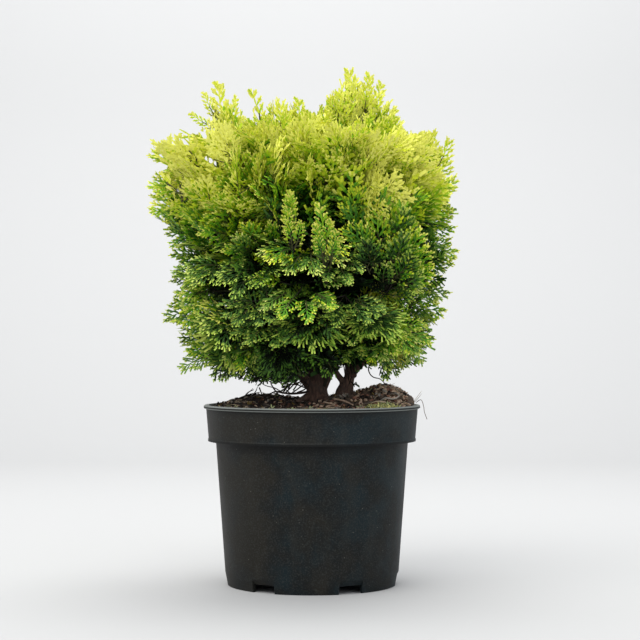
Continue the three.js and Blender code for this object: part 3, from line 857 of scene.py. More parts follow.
# Sprays with a place of their own: root and middle tip in millimetres, the way they face, how many fronds,
# half their spread in degrees, frond length in millimetres, bend, tone and shape. The tone carries painted
# light and shade as well as the leaf's colour.
placedSprays = [
    ((-80, 2, 440), (-99, -6, 517), "front", 1, 0, 74, -0.1, 7.2, "slim"),
    ((-93, -1, 468), (-125, -8, 488), "front", 1, 0, 38, 0.1, 7.2, "slim"),
    ((-94, -2, 474), (-112, -6, 507), "front", 1, 0, 36, 0.1, 7.2, "slim"),
    ((-91, -3, 464), (-76, -6, 503), "front", 1, 0, 42, 0.0, 7.1, "slim"),
    ((-88, -2, 450), (-84, -6, 486), "front", 1, 0, 40, 0.0, 6.8, "slim"),
    ((-86, -6, 442), (-142, -12, 468), "front", 1, 0, 62, -0.3, 7.0, "slim"),
    ((-88, -30, 428), (-127, -44, 455), "front", 2, 14, 46, -0.2, 6.7, "spray"),
    ((-124, -6, 426), (-164, -10, 444), "front", 3, 16, 42, -0.1, 6.8, "spray"),
    ((-126, -4, 401), (-168, -6, 414), "front", 2, 10, 42, -0.1, 6.3, "spray"),
    ((-124, 0, 385), (-168, -4, 392), "front", 2, 12, 42, -0.1, 5.9, "spray"),
    ((-50, -10, 446), (-54, -14, 507), "front", 1, 0, 60, 0.05, 7.0, "slim"),
    ((-34, -20, 444), (-36, -30, 494), "front", 3, 14, 46, 0.05, 7.0, "spray"),
    ((-12, -2, 444), (-15, -6, 504), "front", 3, 7, 56, 0.0, 6.9, "slim"),
    ((6, -14, 446), (6, -24, 490), "front", 2, 12, 42, 0.0, 6.8, "spray"),
    ((52, 8, 468), (33, 2, 531), "front", 1, 0, 64, -0.15, 7.0, "slim"),
    ((52, 4, 470), (46, 0, 520), "front", 2, 8, 46, 0.0, 7.1, "plume"),
    ((54, 4, 468), (57, 0, 527), "front", 1, 0, 58, 0.0, 7.2, "slim"),
    ((56, 6, 466), (75, 2, 516), "front", 1, 0, 50, 0.1, 7.0, "slim"),
    ((33, -2, 459), (21, -8, 502), "front", 2, 8, 42, 0.0, 6.9, "spray"),
    ((64, 0, 449), (87, -4, 490), "front", 1, 0, 46, 0.1, 6.9, "slim"),
    ((74, -8, 440), (97, -14, 479), "front", 2, 10, 42, 0.1, 6.8, "spray"),
    ((116, 0, 414), (112, -6, 468), "front", 2, 8, 52, 0.0, 6.9, "plume"),
    ((120, 2, 412), (130, -4, 466), "front", 2, 8, 50, 0.0, 6.9, "plume"),
    ((116, 4, 402), (140, 0, 439), "front", 1, 0, 42, 0.0, 6.6, "spray"),
    ((116, -6, 393), (151, -10, 415), "front", 1, 0, 42, -0.2, 6.2, "spray"),
    ((110, -4, 382), (145, -8, 391), "front", 2, 10, 40, -0.1, 5.8, "spray"),
    ((106, 2, 368), (147, 0, 374), "front", 2, 12, 44, -0.1, 5.5, "spray"),
    ((108, -6, 349), (150, -8, 347), "front", 3, 14, 42, -0.15, 5.2, "spray"),
    ((104, 0, 331), (146, -4, 334), "front", 3, 14, 44, -0.1, 4.9, "spray"),
    ((101, -6, 310), (140, -10, 301), "front", 3, 16, 42, -0.1, 5.0, "spray"),
    ((95, -4, 292), (136, -6, 282), "front", 3, 18, 42, 0.1, 5.0, "spray"),
    ((89, -6, 273), (124, -10, 254), "front", 3, 16, 42, 0.2, 4.9, "spray"),
    ((76, -8, 258), (107, -12, 231), "front", 2, 14, 40, 0.3, 5.0, "spray"),
    ((-108, -2, 360), (-149, -6, 355), "front", 2, 14, 42, 0.1, 5.0, "spray"),
    ((-103, -4, 333), (-146, -8, 328), "front", 2, 14, 42, 0.1, 4.6, "spray"),
    ((-106, 2, 310), (-145, -2, 306), "front", 2, 12, 40, 0.1, 4.9, "spray"),
    ((-110, -4, 287), (-153, -8, 275), "front", 3, 18, 44, -0.2, 5.2, "spray"),
    ((-101, -6, 260), (-132, -10, 242), "front", 2, 14, 40, 0.2, 4.7, "spray"),
    ((-75, -40, 240), (-100, -52, 212), "front", 3, 18, 36, 0.2, 4.2, "spray"),
    ((-90, -40, 242), (-130, -52, 224), "front", 3, 18, 42, 0.15, 4.7, "comb"),
    ((-58, -62, 248), (-79, -74, 223), "slant", 4, 34, 34, 0.2, 5.4, "spray"),
    ((-51, -30, 236), (-56, -36, 209), "front", 2, 14, 28, 0.1, 3.2, "spray"),
    ((-62, -52, 248), (-72, -64, 213), "front", 4, 30, 36, 0.2, 4.2, "comb"),
    ((-34, -52, 244), (-42, -62, 211), "front", 4, 32, 34, 0.2, 1.8, "comb"),
    ((-22, -48, 246), (-29, -57, 210), "front", 5, 40, 34, 0.2, 1.4, "fine"),
    ((62, -58, 262), (76, -88, 230), "slant", 5, 42, 42, 0.3, 5.8, "comb"),
    ((84, -40, 268), (110, -58, 238), "slant", 5, 40, 42, 0.3, 6.0, "comb"),
    ((34, -62, 260), (42, -90, 232), "slant", 4, 38, 38, 0.3, 4.4, "comb"),
    ((92, -30, 254), (112, -44, 230), "front", 3, 26, 36, 0.2, 5.9, "comb"),
    ((-102, -38, 304), (-134, -56, 290), "front", 4, 32, 42, 0.2, 5.6, "comb"),
    ((-102, -44, 278), (-130, -62, 262), "front", 4, 32, 42, 0.2, 5.2, "comb"),
    ((-64, -60, 254), (-80, -84, 226), "slant", 4, 36, 38, 0.2, 5.4, "comb"),
    ((69, -46, 240), (85, -56, 212), "front", 2, 12, 32, 0.2, 4.7, "spray"),
    ((62, -66, 248), (76, -80, 222), "slant", 3, 24, 32, 0.2, 5.2, "spray"),
    ((-20, -118, 338), (-21, -146, 399), "front", 2, 3, 56, -0.2, 6.3, "slim"),
    ((-18, -122, 336), (-18, -150, 378), "front", 3, 12, 44, -0.2, 5.9, "slim"),
    ((15, -118, 307), (15, -148, 384), "front", 3, 6, 60, -0.2, 5.0, "slim"),
    ((14, -128, 322), (14, -156, 366), "front", 3, 14, 44, -0.2, 5.0, "slim"),
    ((76, -66, 318), (50, -116, 402), "front", 5, 22, 58, 0.3, 4.0, "spray"),
    ((76, -60, 306), (82, -108, 392), "front", 4, 22, 56, 0.3, 5.4, "spray"),
    ((75, -50, 303), (106, -104, 358), "front", 4, 22, 50, 0.4, 5.0, "spray"),
    ((72, -66, 300), (66, -130, 362), "front", 4, 24, 50, 0.4, 3.0, "spray"),
    ((72, -66, 298), (102, -116, 324), "front", 4, 24, 46, 0.4, 4.0, "spray"),
    ((-70, -62, 356), (-88, -112, 396), "front", 5, 36, 46, 0.3, 5.2, "spray"),
    ((-62, -72, 396), (-74, -108, 436), "front", 5, 36, 46, 0.2, 5.8, "spray"),
    ((-50, -74, 334), (-60, -124, 366), "front", 5, 36, 44, 0.4, 4.7, "spray"),
    ((-96, -48, 372), (-122, -78, 408), "front", 4, 32, 44, 0.2, 5.6, "spray"),
    ((-16, -66, 300), (-17, -104, 294), "front", 5, 52, 44, 0.2, 2.4, "coarse"),
    ((-8, -98, 309), (-12, -152, 270), "up", 7, 62, 40, 0.4, 5.6, "comb"),
    ((-3, -98, 347), (-8, -150, 314), "up", 6, 58, 42, 0.5, 5.2, "fine"),
    ((24, -100, 329), (27, -146, 306), "up", 4, 40, 38, 0.5, 4.5, "comb"),
    ((33, -98, 296), (39, -142, 262), "up", 6, 56, 42, 0.4, 3.9, "comb"),
    ((0, -88, 274), (0, -130, 244), "slant", 7, 62, 44, 0.4, 4.0, "shell"),
    ((-43, -84, 270), (-52, -126, 243), "slant", 6, 58, 44, 0.4, 4.2, "comb"),
    ((-75, -72, 274), (-87, -112, 248), "slant", 5, 52, 42, 0.4, 4.4, "fine"),
    ((-49, -92, 292), (-63, -136, 266), "up", 6, 56, 42, 0.5, 4.0, "comb"),
    ((-53, -94, 323), (-67, -136, 301), "up", 5, 54, 40, 0.5, 3.6, "fine"),
    ((-89, -72, 326), (-107, -110, 307), "up", 5, 50, 42, 0.4, 4.4, "fine"),
    ((-30, -56, 250), (-40, -68, 218), "front", 4, 30, 34, 0.2, 1.8, "shell"),
    ((-12, -48, 246), (-18, -58, 219), "front", 4, 30, 32, 0.2, 2.0, "shell"),
    ((8, -52, 250), (8, -62, 222), "front", 3, 30, 32, 0.2, 2.2, "shell"),
    ((60, -82, 276), (68, -120, 252), "slant", 6, 50, 42, 0.4, 4.0, "shell"),
    ((40, -86, 266), (37, -124, 247), "slant", 5, 46, 36, 0.4, 4.4, "comb"),
]


def stepped(table, value):
    return float(np.interp(value, [row[0] for row in table], [row[1] for row in table]))


def emptyShape():
    return {key: [] for key in ("points", "faces", "edge", "fade", "stalk")}


# A lobe is a finger of six corners and five faces with a raised middle and a blunt end, in the frond's plane.
def addLobe(shape, start, angle, length, width, level, pitch, edge, kind="finger"):
    share, waist, tip, fade = lobeForms[kind]
    along = np.array([math.sin(angle), math.cos(angle), pitch])
    side = np.array([-math.cos(angle), math.sin(angle), 0.0])
    base = np.array([start[0], start[1], level])
    middle = base + share * length * along
    end = base + length * along
    corners = [
        base, middle + waist * width * side, middle + np.array([0, 0, branch["ridge"] * width]),
        middle - waist * width * side,
        end + tip * width * side, end - tip * width * side,
    ]
    first = len(shape["points"])
    shape["points"].extend(corners)
    for a, b, c in ((0, 3, 2), (0, 2, 1), (1, 2, 4), (2, 5, 4), (2, 3, 5)):
        shape["faces"].append((first + a, first + b, first + c))
    shape["edge"].append(edge)
    shape["fade"].append(fade)
    shape["stalk"].append(kind == "stalk")


# One side branch: its own scales, then fingers by turns, longer on the side that faces the frond's tip.
def addBranch(shape, rng, spec, spot, angle, hand, reach, rim):
    width, step = spec["width"], spec["step"]
    least = spec["least"]
    curl = -hand * math.radians(rng.uniform(*branch["curl"]))
    pitch = rng.uniform(*branch["pitch"])
    steps = max(2, round(reach / step))
    for j in range(steps):
        share = j / steps
        turn = angle + curl * share
        heading = np.array([math.sin(turn), math.cos(turn)])
        level = pitch * reach * share
        edge = 0.35 * rim + 0.65 * share
        if j % 2 == 0:
            kind = "stalk" if max(edge, least) < branch["stalkBelow"] else "web"
            addLobe(shape, spot, turn, min(2.5 * step, (1 - share) * reach + 0.04),
                    spec["web"] if kind == "web" else 0.7 * width, level, pitch, max(least, 0.7 * edge), kind)
        if j > 0 and share >= spec["bare"]:
            toTip = j % 2 == 0
            lean = (-hand if toTip else hand) * math.radians(rng.uniform(*spec["lean"]))
            length = spec["finger"] * rng.uniform(*branch["fingerLength"]) * (1.08 - 0.34 * share)
            length *= 1.1 if toTip else 0.85
            addLobe(shape, spot, turn + lean, length, width * rng.uniform(0.84, 1.04),
                    level + branch["fingerRise"], rng.uniform(-0.12, 0.16),
                    min(1.0, 0.25 + 0.75 * edge + 0.1), spec["end"])
        spot = spot + heading * reach / steps
    for lean, share in ((0.1 * hand, 1.0), (-0.44 * hand, 0.7)):
        length = spec["finger"] * share * rng.uniform(0.8, 1.1)
        addLobe(shape, spot - heading * step * 0.6, turn + lean, length, width,
                pitch * reach + branch["fingerRise"], rng.uniform(-0.1, 0.25), 1.0, spec["end"])


# A frond is one unit long: a central stalk with branches left and right by turns.
def makeFrond(rng, spec):
    shape = emptyShape()
    stem = [spine["length"] * k / spine["lobes"] for k in range(spine["lobes"])]
    sway = rng.uniform(*spine["sway"])
    low, high = spec["span"]
    for k, y in enumerate(stem):
        addLobe(shape, (sway * math.sin(math.pi * y), y), sway * math.pi * math.cos(math.pi * y), 0.24,
                spec["width"] * 0.8, 0.0, 0.0, 0.1 + 0.6 * y, "stalk" if k < 3 else "web")
    for k in range(spec["branches"]):
        hand = 1 if k % 2 else -1
        share = min(1.0, max(0.0, (k + rng.uniform(-0.25, 0.25)) / (spec["branches"] - 1)))
        y = low + (high - low) * share
        outline = (1 - y) ** spec["taper"] * min(1.0, (y + 0.3) / 0.55)
        reach = spec["reach"] * outline * rng.uniform(0.80, 1.14) + 0.05
        angle = hand * math.radians(np.interp(share, (0, 1), spec["angles"]) + rng.uniform(-6, 6))
        addBranch(shape, rng, spec, np.array([sway * math.sin(math.pi * y), y]), angle, hand, reach, y)
        stem += [y] * (len(shape["edge"]) - len(stem))
    for turn in (-0.4, 0.05, 0.42):
        addLobe(shape, (0, spine["length"]), turn, 0.14, spec["width"], branch["fingerRise"],
                rng.uniform(-0.1, 0.2), 1.0, spec["end"])
    stem += [spine["length"]] * (len(shape["edge"]) - len(stem))
    return {"stem": np.array(stem), **{key: np.array(values) for key, values in shape.items()}}


# Points on the mass's skin that face open air, none nearer to another than the spacing.
def openPoints(mesh, everyMass, spacing, rng):
    mesh.calc_loop_triangles()
    points = np.array([v.co for v in mesh.vertices])
    triangles = np.array([t.vertices for t in mesh.loop_triangles])
    a, b, c = (points[triangles[:, k]] for k in range(3))
    cross = np.cross(b - a, c - a)
    areas = 0.5 * np.linalg.norm(cross, axis=1)
    count = int(skin["tries"] * areas.sum() / spacing ** 2)
    chosen = rng.choice(len(areas), count, p=areas / areas.sum())
    u, v = rng.random((2, count))
    folded = u + v > 1
    u[folded], v[folded] = 1 - u[folded], 1 - v[folded]
    spots = a[chosen] + u[:, None] * (b - a)[chosen] + v[:, None] * (c - a)[chosen]
    normals = cross[chosen] / (2 * areas[chosen, None])
    kept = []
    for spot, normal in zip(spots, normals):
        if any(np.dot(spot - other, spot - other) < spacing ** 2 for other, _ in kept):
            continue
        outward = unit(np.array([spot[0] - crown["axis"][0], spot[1] - crown["axis"][1],
                                 skin["lift"] * (spot[2] - crown["middle"])]))
        if normal @ outward < skin["facing"]:
            continue
        if everyMass.ray_cast(Vector(spot + skin["start"] * normal), Vector(normal), skin["open"])[0] is None:
            kept.append((spot, normal))
    return kept


def heightShare(z):
    return min(1.0, max(0.0, (z - crown["foot"]) / (crown["top"] - crown["foot"])))


# Where a frond's own point lands once the frond is bent along its length and cupped across.
def placeFrond(points, fronds):
    def column(key):
        return np.array([f[key] for f in fronds])[:, None]
    bend, cup = column("bend"), column("cup")
    x, y, z = points[None, :, 0], points[None, :, 1], points[None, :, 2]
    turn = bend * y
    along, out = np.sin(turn) / bend, (1 - np.cos(turn)) / bend
    rise = z + cup * x ** 2
    local = np.stack([x + 0 * turn, along - np.sin(turn) * rise, out + np.cos(turn) * rise], axis=2)
    tips = np.stack([0 * bend, np.sin(bend) / bend, (1 - np.cos(bend)) / bend], axis=2)
    axes = np.array([[f["side"], f["heading"], f["face"]] for f in fronds])
    base = np.array([f["tip"] for f in fronds])[:, None, :]
    return base + column("size")[:, :, None] * ((local - tips) @ axes)


# How far the crown's skin lies from its middle, and a tip that would pass the skin is drawn back to it.
def skinReach(away, everyMass):
    far = np.array([*crown["axis"], crown["middle"]]) + 0.5 * away
    reached = everyMass.ray_cast(Vector(far), Vector(-away), 0.5)[3]
    return 0.5 - reached if reached else 0.1


def skinSlack(tip):
    low = np.clip((cornerZone["below"] - tip[2]) / cornerZone["blend"], 0, 1)
    wide = np.clip((math.hypot(tip[0], tip[1]) - cornerZone["beyond"]) / cornerZone["blend"], 0, 1)
    return stepped(fans["slack"], heightShare(tip[2])) - cornerZone["inset"] * low * wide


def drawnBack(tip, everyMass, slack):
    centre = np.array([*crown["axis"], crown["middle"]])
    away = unit(tip - centre)
    return centre + min(np.linalg.norm(tip - centre), skinReach(away, everyMass) + slack) * away


# How foliage stands at a spot: the way it heads, its sideways axis and how far its tips bend over.
def standing(spot, normal, rng):
    share = heightShare(spot[2])
    away = unit(np.array([spot[0] - crown["axis"][0], spot[1] - crown["axis"][1], 0]))
    out = unit(0.5 * np.array([normal[0], normal[1], 0]) + away
               + stance["wander"] * np.append(rng.normal(size=2), 0))
    raised = rng.normal(0, stance["sway"]) + (stance["raised"] if rng.random() < stance["raisedShare"] else 0)
    angle = math.radians(min(stance["steepest"], stepped(lift, share) + raised))
    heading = math.cos(angle) * out + math.sin(angle) * np.array([0, 0, 1.0])
    across = unit(np.cross([0, 0, 1.0], out))
    flat = rng.random() < stance["flatShare"]["low" if share < stance["lowBelow"] else "high"]
    roll = rng.normal(*stance["flatRoll"]) if flat else rng.choice([-1, 1]) * rng.normal(*stance["edgeRoll"])
    roll = math.radians(roll)
    side = math.cos(roll) * across + math.sin(roll) * np.cross(across, heading)
    return heading, side, stepped(droop, share) + rng.normal(0, stance["droopSway"])


# A spot's tone: lighter higher up, partly golden colour and partly painted light from above; painted light on
# a mass's top and painted shade under it; random patches; and on the front, spots of painted light and shade.
def toneAt(spot, rel):
    share = heightShare(spot[2])
    least, more = toneMix["rise"]
    patch = toneMix["patch"] * noise.noise(Vector(spot) * toneMix["patchScale"])
    tone = stepped(toneByHeight, share) + (least + more * share) * rel + patch
    if spot[1] < 0:
        for x, z, radius, shift in toneSpots:
            tone += shift * math.exp(-((spot[0] - x) ** 2 + (spot[2] - z) ** 2) / radius ** 2)
    return tone


# The inner layers' painted shade counts more low in the crown.
def insideShade(tip):
    most, less = toneMix["inside"]
    return most - less * heightShare(tip[2])


# The frond's chord runs along the heading, so its root points half the bend above it.
def frondAt(tip, heading, side, bend, size, tone, shape, cup):
    side = unit(side - heading * (side @ heading))
    face = np.cross(side, heading)
    bend = bend if abs(bend) > 0.02 else 0.02
    rootHeading = math.cos(bend / 2) * heading - math.sin(bend / 2) * face
    return {"shape": shape, "tip": tip, "heading": rootHeading, "side": side,
            "face": np.cross(side, rootHeading), "size": size, "bend": bend, "cup": cup, "tone": tone,
            "chord": heading, "root": tip - size * heading, "fan": False, "tips": 0.8}


# Fronds that spread from one root over a domed sheet. Where masses are given, their tips stay inside them.
def spreadFronds(root, heading, side, plan, rng, masses=None):
    face = np.cross(side, heading)
    fronds = []
    for k in range(plan["count"]):
        share = (2 * k / (plan["count"] - 1) - 1 if plan["count"] > 1 else 0) + rng.normal(0, 0.08)
        turn = plan["spread"] * share
        along = math.cos(turn) * heading + math.sin(turn) * side
        along = unit(along - 0.5 * fans["dome"] * share ** 2 * face + 0.05 * rng.normal(size=3))
        across = math.cos(turn) * side - math.sin(turn) * heading
        across = unit(across - fans["dome"] * share * abs(share) * face)
        outer = 0.2 if plan["count"] > 2 else 0.04
        length = plan["reach"] * rng.uniform(plan["shortest"], 1.04) * (1 - outer * abs(share))
        tip = root + length * along
        if masses:
            tip = drawnBack(tip, masses, skinSlack(tip))
        upper = (tip - root)[2] / plan["reach"]
        size = min(plan["size"] * (1 - 0.15 * abs(share)), length) * rng.uniform(0.92, 1.0)
        bend = plan["bend"] + rng.normal(0, 0.1)
        # fronds that reach upward are painted lighter, as lit from above
        tone = plan["tone"] + 1.2 * upper + rng.normal(0, 0.25)
        frond = frondAt(tip, along, across, bend, size, tone, plan["shape"], -rng.uniform(0.1, 0.5))
        fronds.append({**frond, "root": root, "fan": True, "tips": plan["tips"]})
    return fronds


def growFan(spot, normal, rel, everyMass, rng):
    heading, side, bend = standing(spot, normal, rng)
    reach = rng.uniform(*fans["reach"])
    root = spot - heading * reach * rng.uniform(*fans["rootShare"]) - normal * fans["sink"] * (0.5 - rel)
    share = heightShare(spot[2])
    kind, count, shift = "spray", "count", 0
    if rng.random() < stepped(fans["lowShare"], share):
        kind, count = str(rng.choice(list(fans["lowKinds"]), p=list(fans["lowKinds"].values()))), "lowCount"
        shift = rng.choice(fans["lowShift"][0], p=fans["lowShift"][1])
    plan = {"reach": reach, "size": reach, "spread": math.radians(rng.uniform(*fans["spread"])),
            "count": int(rng.integers(*fans[count])), "bend": bend, "shortest": fans["shortest"],
            "tips": rng.choice(fans["tips"][0], p=fans["tips"][1]),
            "tone": toneAt(spot, rel) + shift + rng.normal(0, 0.6), "shape": kind}
    return spreadFronds(root, heading, side, plan, rng, everyMass)


def growFrond(spot, normal, layer, rel, everyMass, rng):
    heading, side, bend = standing(spot, normal, rng)
    tip = spot - normal * (rng.uniform(*layer["depth"]) + 0.008 * (0.6 - rel))
    tip = drawnBack(tip, everyMass, skinSlack(tip) - 0.9 * layer["depth"][0])
    tone = toneAt(tip, rel) + layer["tone"] * insideShade(tip) + rng.normal(0, 0.45)
    return frondAt(tip, heading, side, bend, rng.uniform(*layer["length"]), tone, layer["shape"],
                   rng.uniform(-0.5, 0.3))


def growPlaced(rng):
    fronds = []
    for root, tip, facing, count, spread, size, bend, tone, shape in placedSprays:
        root, tip = 0.001 * np.array(root), 0.001 * np.array(tip)
        heading = unit(tip - root)
        side = unit(np.cross(facings[facing], heading))
        plan = {"reach": np.linalg.norm(tip - root), "size": 0.001 * size, "spread": math.radians(spread),
                "count": count, "bend": bend, "tone": tone, "shape": shape, **placedFans}
        fronds += spreadFronds(root, heading, side, plan, rng)
    return fronds


# Fronds about the stems, painted dark as shade, spread evenly over all directions from the crown's middle.
def growCore(everyMass, rng):
    centre = np.array([*crown["axis"], crown["middle"]])
    fronds = []
    for k in range(core["count"]):
        z = 1 - 2 * (k + 0.5) / core["count"]
        turn = k * math.pi * (3 - math.sqrt(5))
        away = np.array([math.sqrt(1 - z * z) * math.cos(turn), math.sqrt(1 - z * z) * math.sin(turn), z])
        tip = centre + rng.uniform(*core["share"]) * skinReach(away, everyMass) * away
        if tip[2] < core["lowest"]:
            continue
        heading, side, bend = standing(tip, away, rng)
        tone = toneAt(tip, 0) + core["tone"] * insideShade(tip)
        fronds.append(frondAt(tip, heading, side, bend, rng.uniform(*core["length"]), tone, "rough", 0))
    return fronds


def growMass(name, everyMass, placedTips, rng):
    mesh = nodes[name].data
    heights = [v.co.z for v in mesh.vertices]
    middle, half = 0.5 * (max(heights) + min(heights)), 0.5 * (max(heights) - min(heights))
    fronds = []
    for spot, normal in openPoints(mesh, everyMass, fans["spacing"], rng):
        if np.min(np.linalg.norm(placedTips - spot, axis=1)) > fans["clear"]:
            fronds += growFan(spot, normal, (spot[2] - middle) / half, everyMass, rng)
    tips = [f["tip"] for f in fronds]
    for kind, layer in layers.items():
        for spot, normal in openPoints(mesh, everyMass, layer["spacing"], rng):
            if kind == "filler" and any(np.linalg.norm(spot - tip) < fans["fillerApart"] for tip in tips):
                continue
            fronds.append(growFrond(spot, normal, layer, (spot[2] - middle) / half, everyMass, rng))
    return fronds


def inGap(points):
    view = np.array(studio["cameraAt"])
    scale = view[1] / (view[1] - points[..., 1])
    seen = view[[0, 2]] + (points[..., [0, 2]] - view[[0, 2]]) * scale[..., None]
    cut = np.zeros(seen.shape[:-1], bool)
    for x, z, radius in skyGaps:
        cut |= np.linalg.norm(seen - 0.001 * np.array([x, z]), axis=-1) < 0.001 * radius
    return cut


# Which lobes of each placed frond stay: none in a gap, and none that grows from a cut stem beyond it.
def keptLobes(placed, shape):
    cut = inGap(placed).reshape(len(placed), len(shape["stem"]), -1).any(axis=2)
    first = slice(spine["lobes"])
    severed = np.where(cut[:, first], shape["stem"][first], 9).min(axis=1)
    return ~cut & (shape["stem"] < severed[:, None])


def leafMesh(name, fronds, shapes, materials, rng):
    tones = len(leafTones["golden"])
    parts = []
    for kind, variants in shapes.items():
        for index, shape in enumerate(variants):
            group = [f for f in fronds if f["shape"] == kind and f["variant"] == index]
            if not group:
                continue
            placed = placeFrond(shape["points"], group)
            edge = shape["edge"]
            for spots, kept, frond in zip(placed, keptLobes(placed, shape), group):
                # the ends are lighter, partly their own yellow colour and partly painted highlight
                reach = frond["tips"] * stepped(tipTone, heightShare(frond["tip"][2]))
                level = frond["tone"] + reach * (edge ** 2 - leaves["edgeMiddle"])
                level = level + rng.normal(0, leaves["toneNoise"], len(edge))
                # the two faces at a lobe's base are darker: painted shade
                level = np.stack([level - shape["fade"]] * 2 + [level] * 3, axis=1)
                level = np.clip(np.rint(level), 0, tones - 1)
                golden = stepped(goldenShare, heightShare(frond["tip"][2]))
                golden += goldenGain["gain"] * max(0, frond["tone"] - goldenGain["above"])
                if rng.random() > golden:
                    level = level + tones
                if frond["tone"] > leaves["stalkAbove"]:
                    level = np.where(shape["stalk"][:, None], 2 * tones, level)
                if kept.any():
                    faces = shape["faces"][np.repeat(kept, level.shape[1])]
                    parts.append((spots, faces, level[kept].ravel()))
    return joinedMesh(name, parts, materials)


def leafMaterials():
    made = []
    for kind, tones in leafTones.items():
        for k, colour in enumerate(tones):
            # each tone is a lit or shaded copy of the leaf, from painted shade to painted highlight
            material = plainMaterial("%sLeaf%d" % (kind, k + 1), colour, leaves["roughness"])
            shader = material.node_tree.nodes["Principled BSDF"]
            gloss = leaves["dull"] if k < leaves["dullTones"] else leaves["glossy"]
            shader.inputs["Specular IOR Level"].default_value = gloss
            made.append(material)
    return [*made, plainMaterial(*stalkTone, 0.7)]


def makeFoliage():
    rng = np.random.default_rng(crown["seed"])
    shapes = {kind: [makeFrond(rng, {**frondDefaults, **spec}) for _ in range(spec["count"])]
              for kind, spec in frondShapes.items()}
    massNames = [name for name in nodes if slotOf[name].startswith("foliage")]
    middles = np.array([np.mean([v.co for v in nodes[name].data.vertices], axis=0) for name in massNames])
    merged = mergedCopy(massNames)
    everyMass = BVHTree.FromBMesh(merged)
    merged.free()
    # the placed sprays, each mass and each mass's tones draw from seeds of their own
    placed = growPlaced(np.random.default_rng([crown["seed"], 1]))
    placedTips = np.array([f["tip"] for f in placed])
    grown = {name: growMass(name, everyMass, placedTips, np.random.default_rng([crown["seed"], 2, k]))
             for k, name in enumerate(massNames)}
    for frond in placed + growCore(everyMass, rng):
        grown[massNames[int(np.argmin(np.linalg.norm(middles - frond["tip"], axis=1)))]].append(frond)
    materials = leafMaterials()
    faceCount = 0
    for number, (name, fronds) in enumerate(grown.items()):
        rng = np.random.default_rng([crown["seed"], 3, number])
        for frond in fronds:
            frond["variant"] = int(rng.integers(len(shapes[frond["shape"]])))
        mesh = leafMesh(name + "_leaves", fronds, shapes, materials, rng)
        piece = linkMesh(name + "_leaves", mesh)
        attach(piece, "root")
        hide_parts(name)
        faceCount += len(mesh.polygons)
    print("foliage:", sum(len(fronds) for fronds in grown.values()), "fronds,", faceCount, "faces")
    return grown


grown = makeFoliage()

# twigs that carry the foliage

twigs = {
    "seed": 23,
    "bough": (0.0020, 0.0010),
    "branch": (0.0009, 0.0005),
    "twiglet": (0.0007, 0.0004),
    "inward": 0.042,
    "least": 0.034,
    "stemsAt": 0.006,
    "heartDrop": 0.012,
    "boughDrop": 0.03,
}


# The place inside a mass where its twigs part: its middle drawn towards the stems.
def heartOf(name):
    middle = np.mean([v.co for v in nodes[name].data.vertices], axis=0)
    flat = np.array([middle[0] - twigs["stemsAt"], middle[1], 0])
    reach = np.linalg.norm(flat)
    drawn = max(twigs["least"], reach - twigs["inward"])
    return np.array([twigs["stemsAt"], 0, middle[2] - twigs["heartDrop"]]) + drawn * unit(flat)


def twigPath(start, end, rise, rng, stations):
    middle = 0.45 * start + 0.55 * end + np.array([0, 0, rise * np.linalg.norm(end - start)])
    middle = middle + 0.05 * np.linalg.norm(end - start) * rng.normal(size=3)
    return curved([start, middle, end], stations)


def makeTwigs():
    rng = np.random.default_rng(twigs["seed"])
    limbs = mergedCopy(limbNames)
    limbTree = BVHTree.FromBMesh(limbs)
    limbs.free()
    parts = []
    for name, fronds in grown.items():
        heart = heartOf(name)
        low = heart - np.array([0, 0, twigs["boughDrop"]])
        start = np.array(limbTree.find_nearest(Vector(low))[0])
        parts.append((*tube(twigPath(start, heart, -0.08, rng, 7), twigs["bough"], 6), 0))
        made = set()
        for frond in fronds:
            key = tuple(np.round(frond["root"], 5))
            if key in made:
                continue
            made.add(key)
            girth = twigs["branch"] if frond["fan"] else twigs["twiglet"]
            paths = [(twigPath(heart, frond["root"], 0.06, rng, 5), girth)]
            if frond["fan"]:
                joint = frond["tip"] - 0.96 * frond["size"] * frond["chord"]
                paths.append((twigPath(frond["root"], joint, 0, rng, 3), twigs["twiglet"]))
            parts += [(*tube(path, radii, 4), 0) for path, radii in paths
                      if not inGap(curved(path, 15)).any()]
    twigMaterial = plainMaterial("twigBark", (34, 30, 16), 0.85)
    piece = linkMesh("twigs", joinedMesh("twigs", parts, [twigMaterial]))
    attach(piece, "root")
    print("twigs:", len(parts), "twigs,", len(piece.data.polygons), "faces")


makeTwigs()

# bare twigs about the foot of the stems: places in millimetres (x, y, z), then radii in millimetres

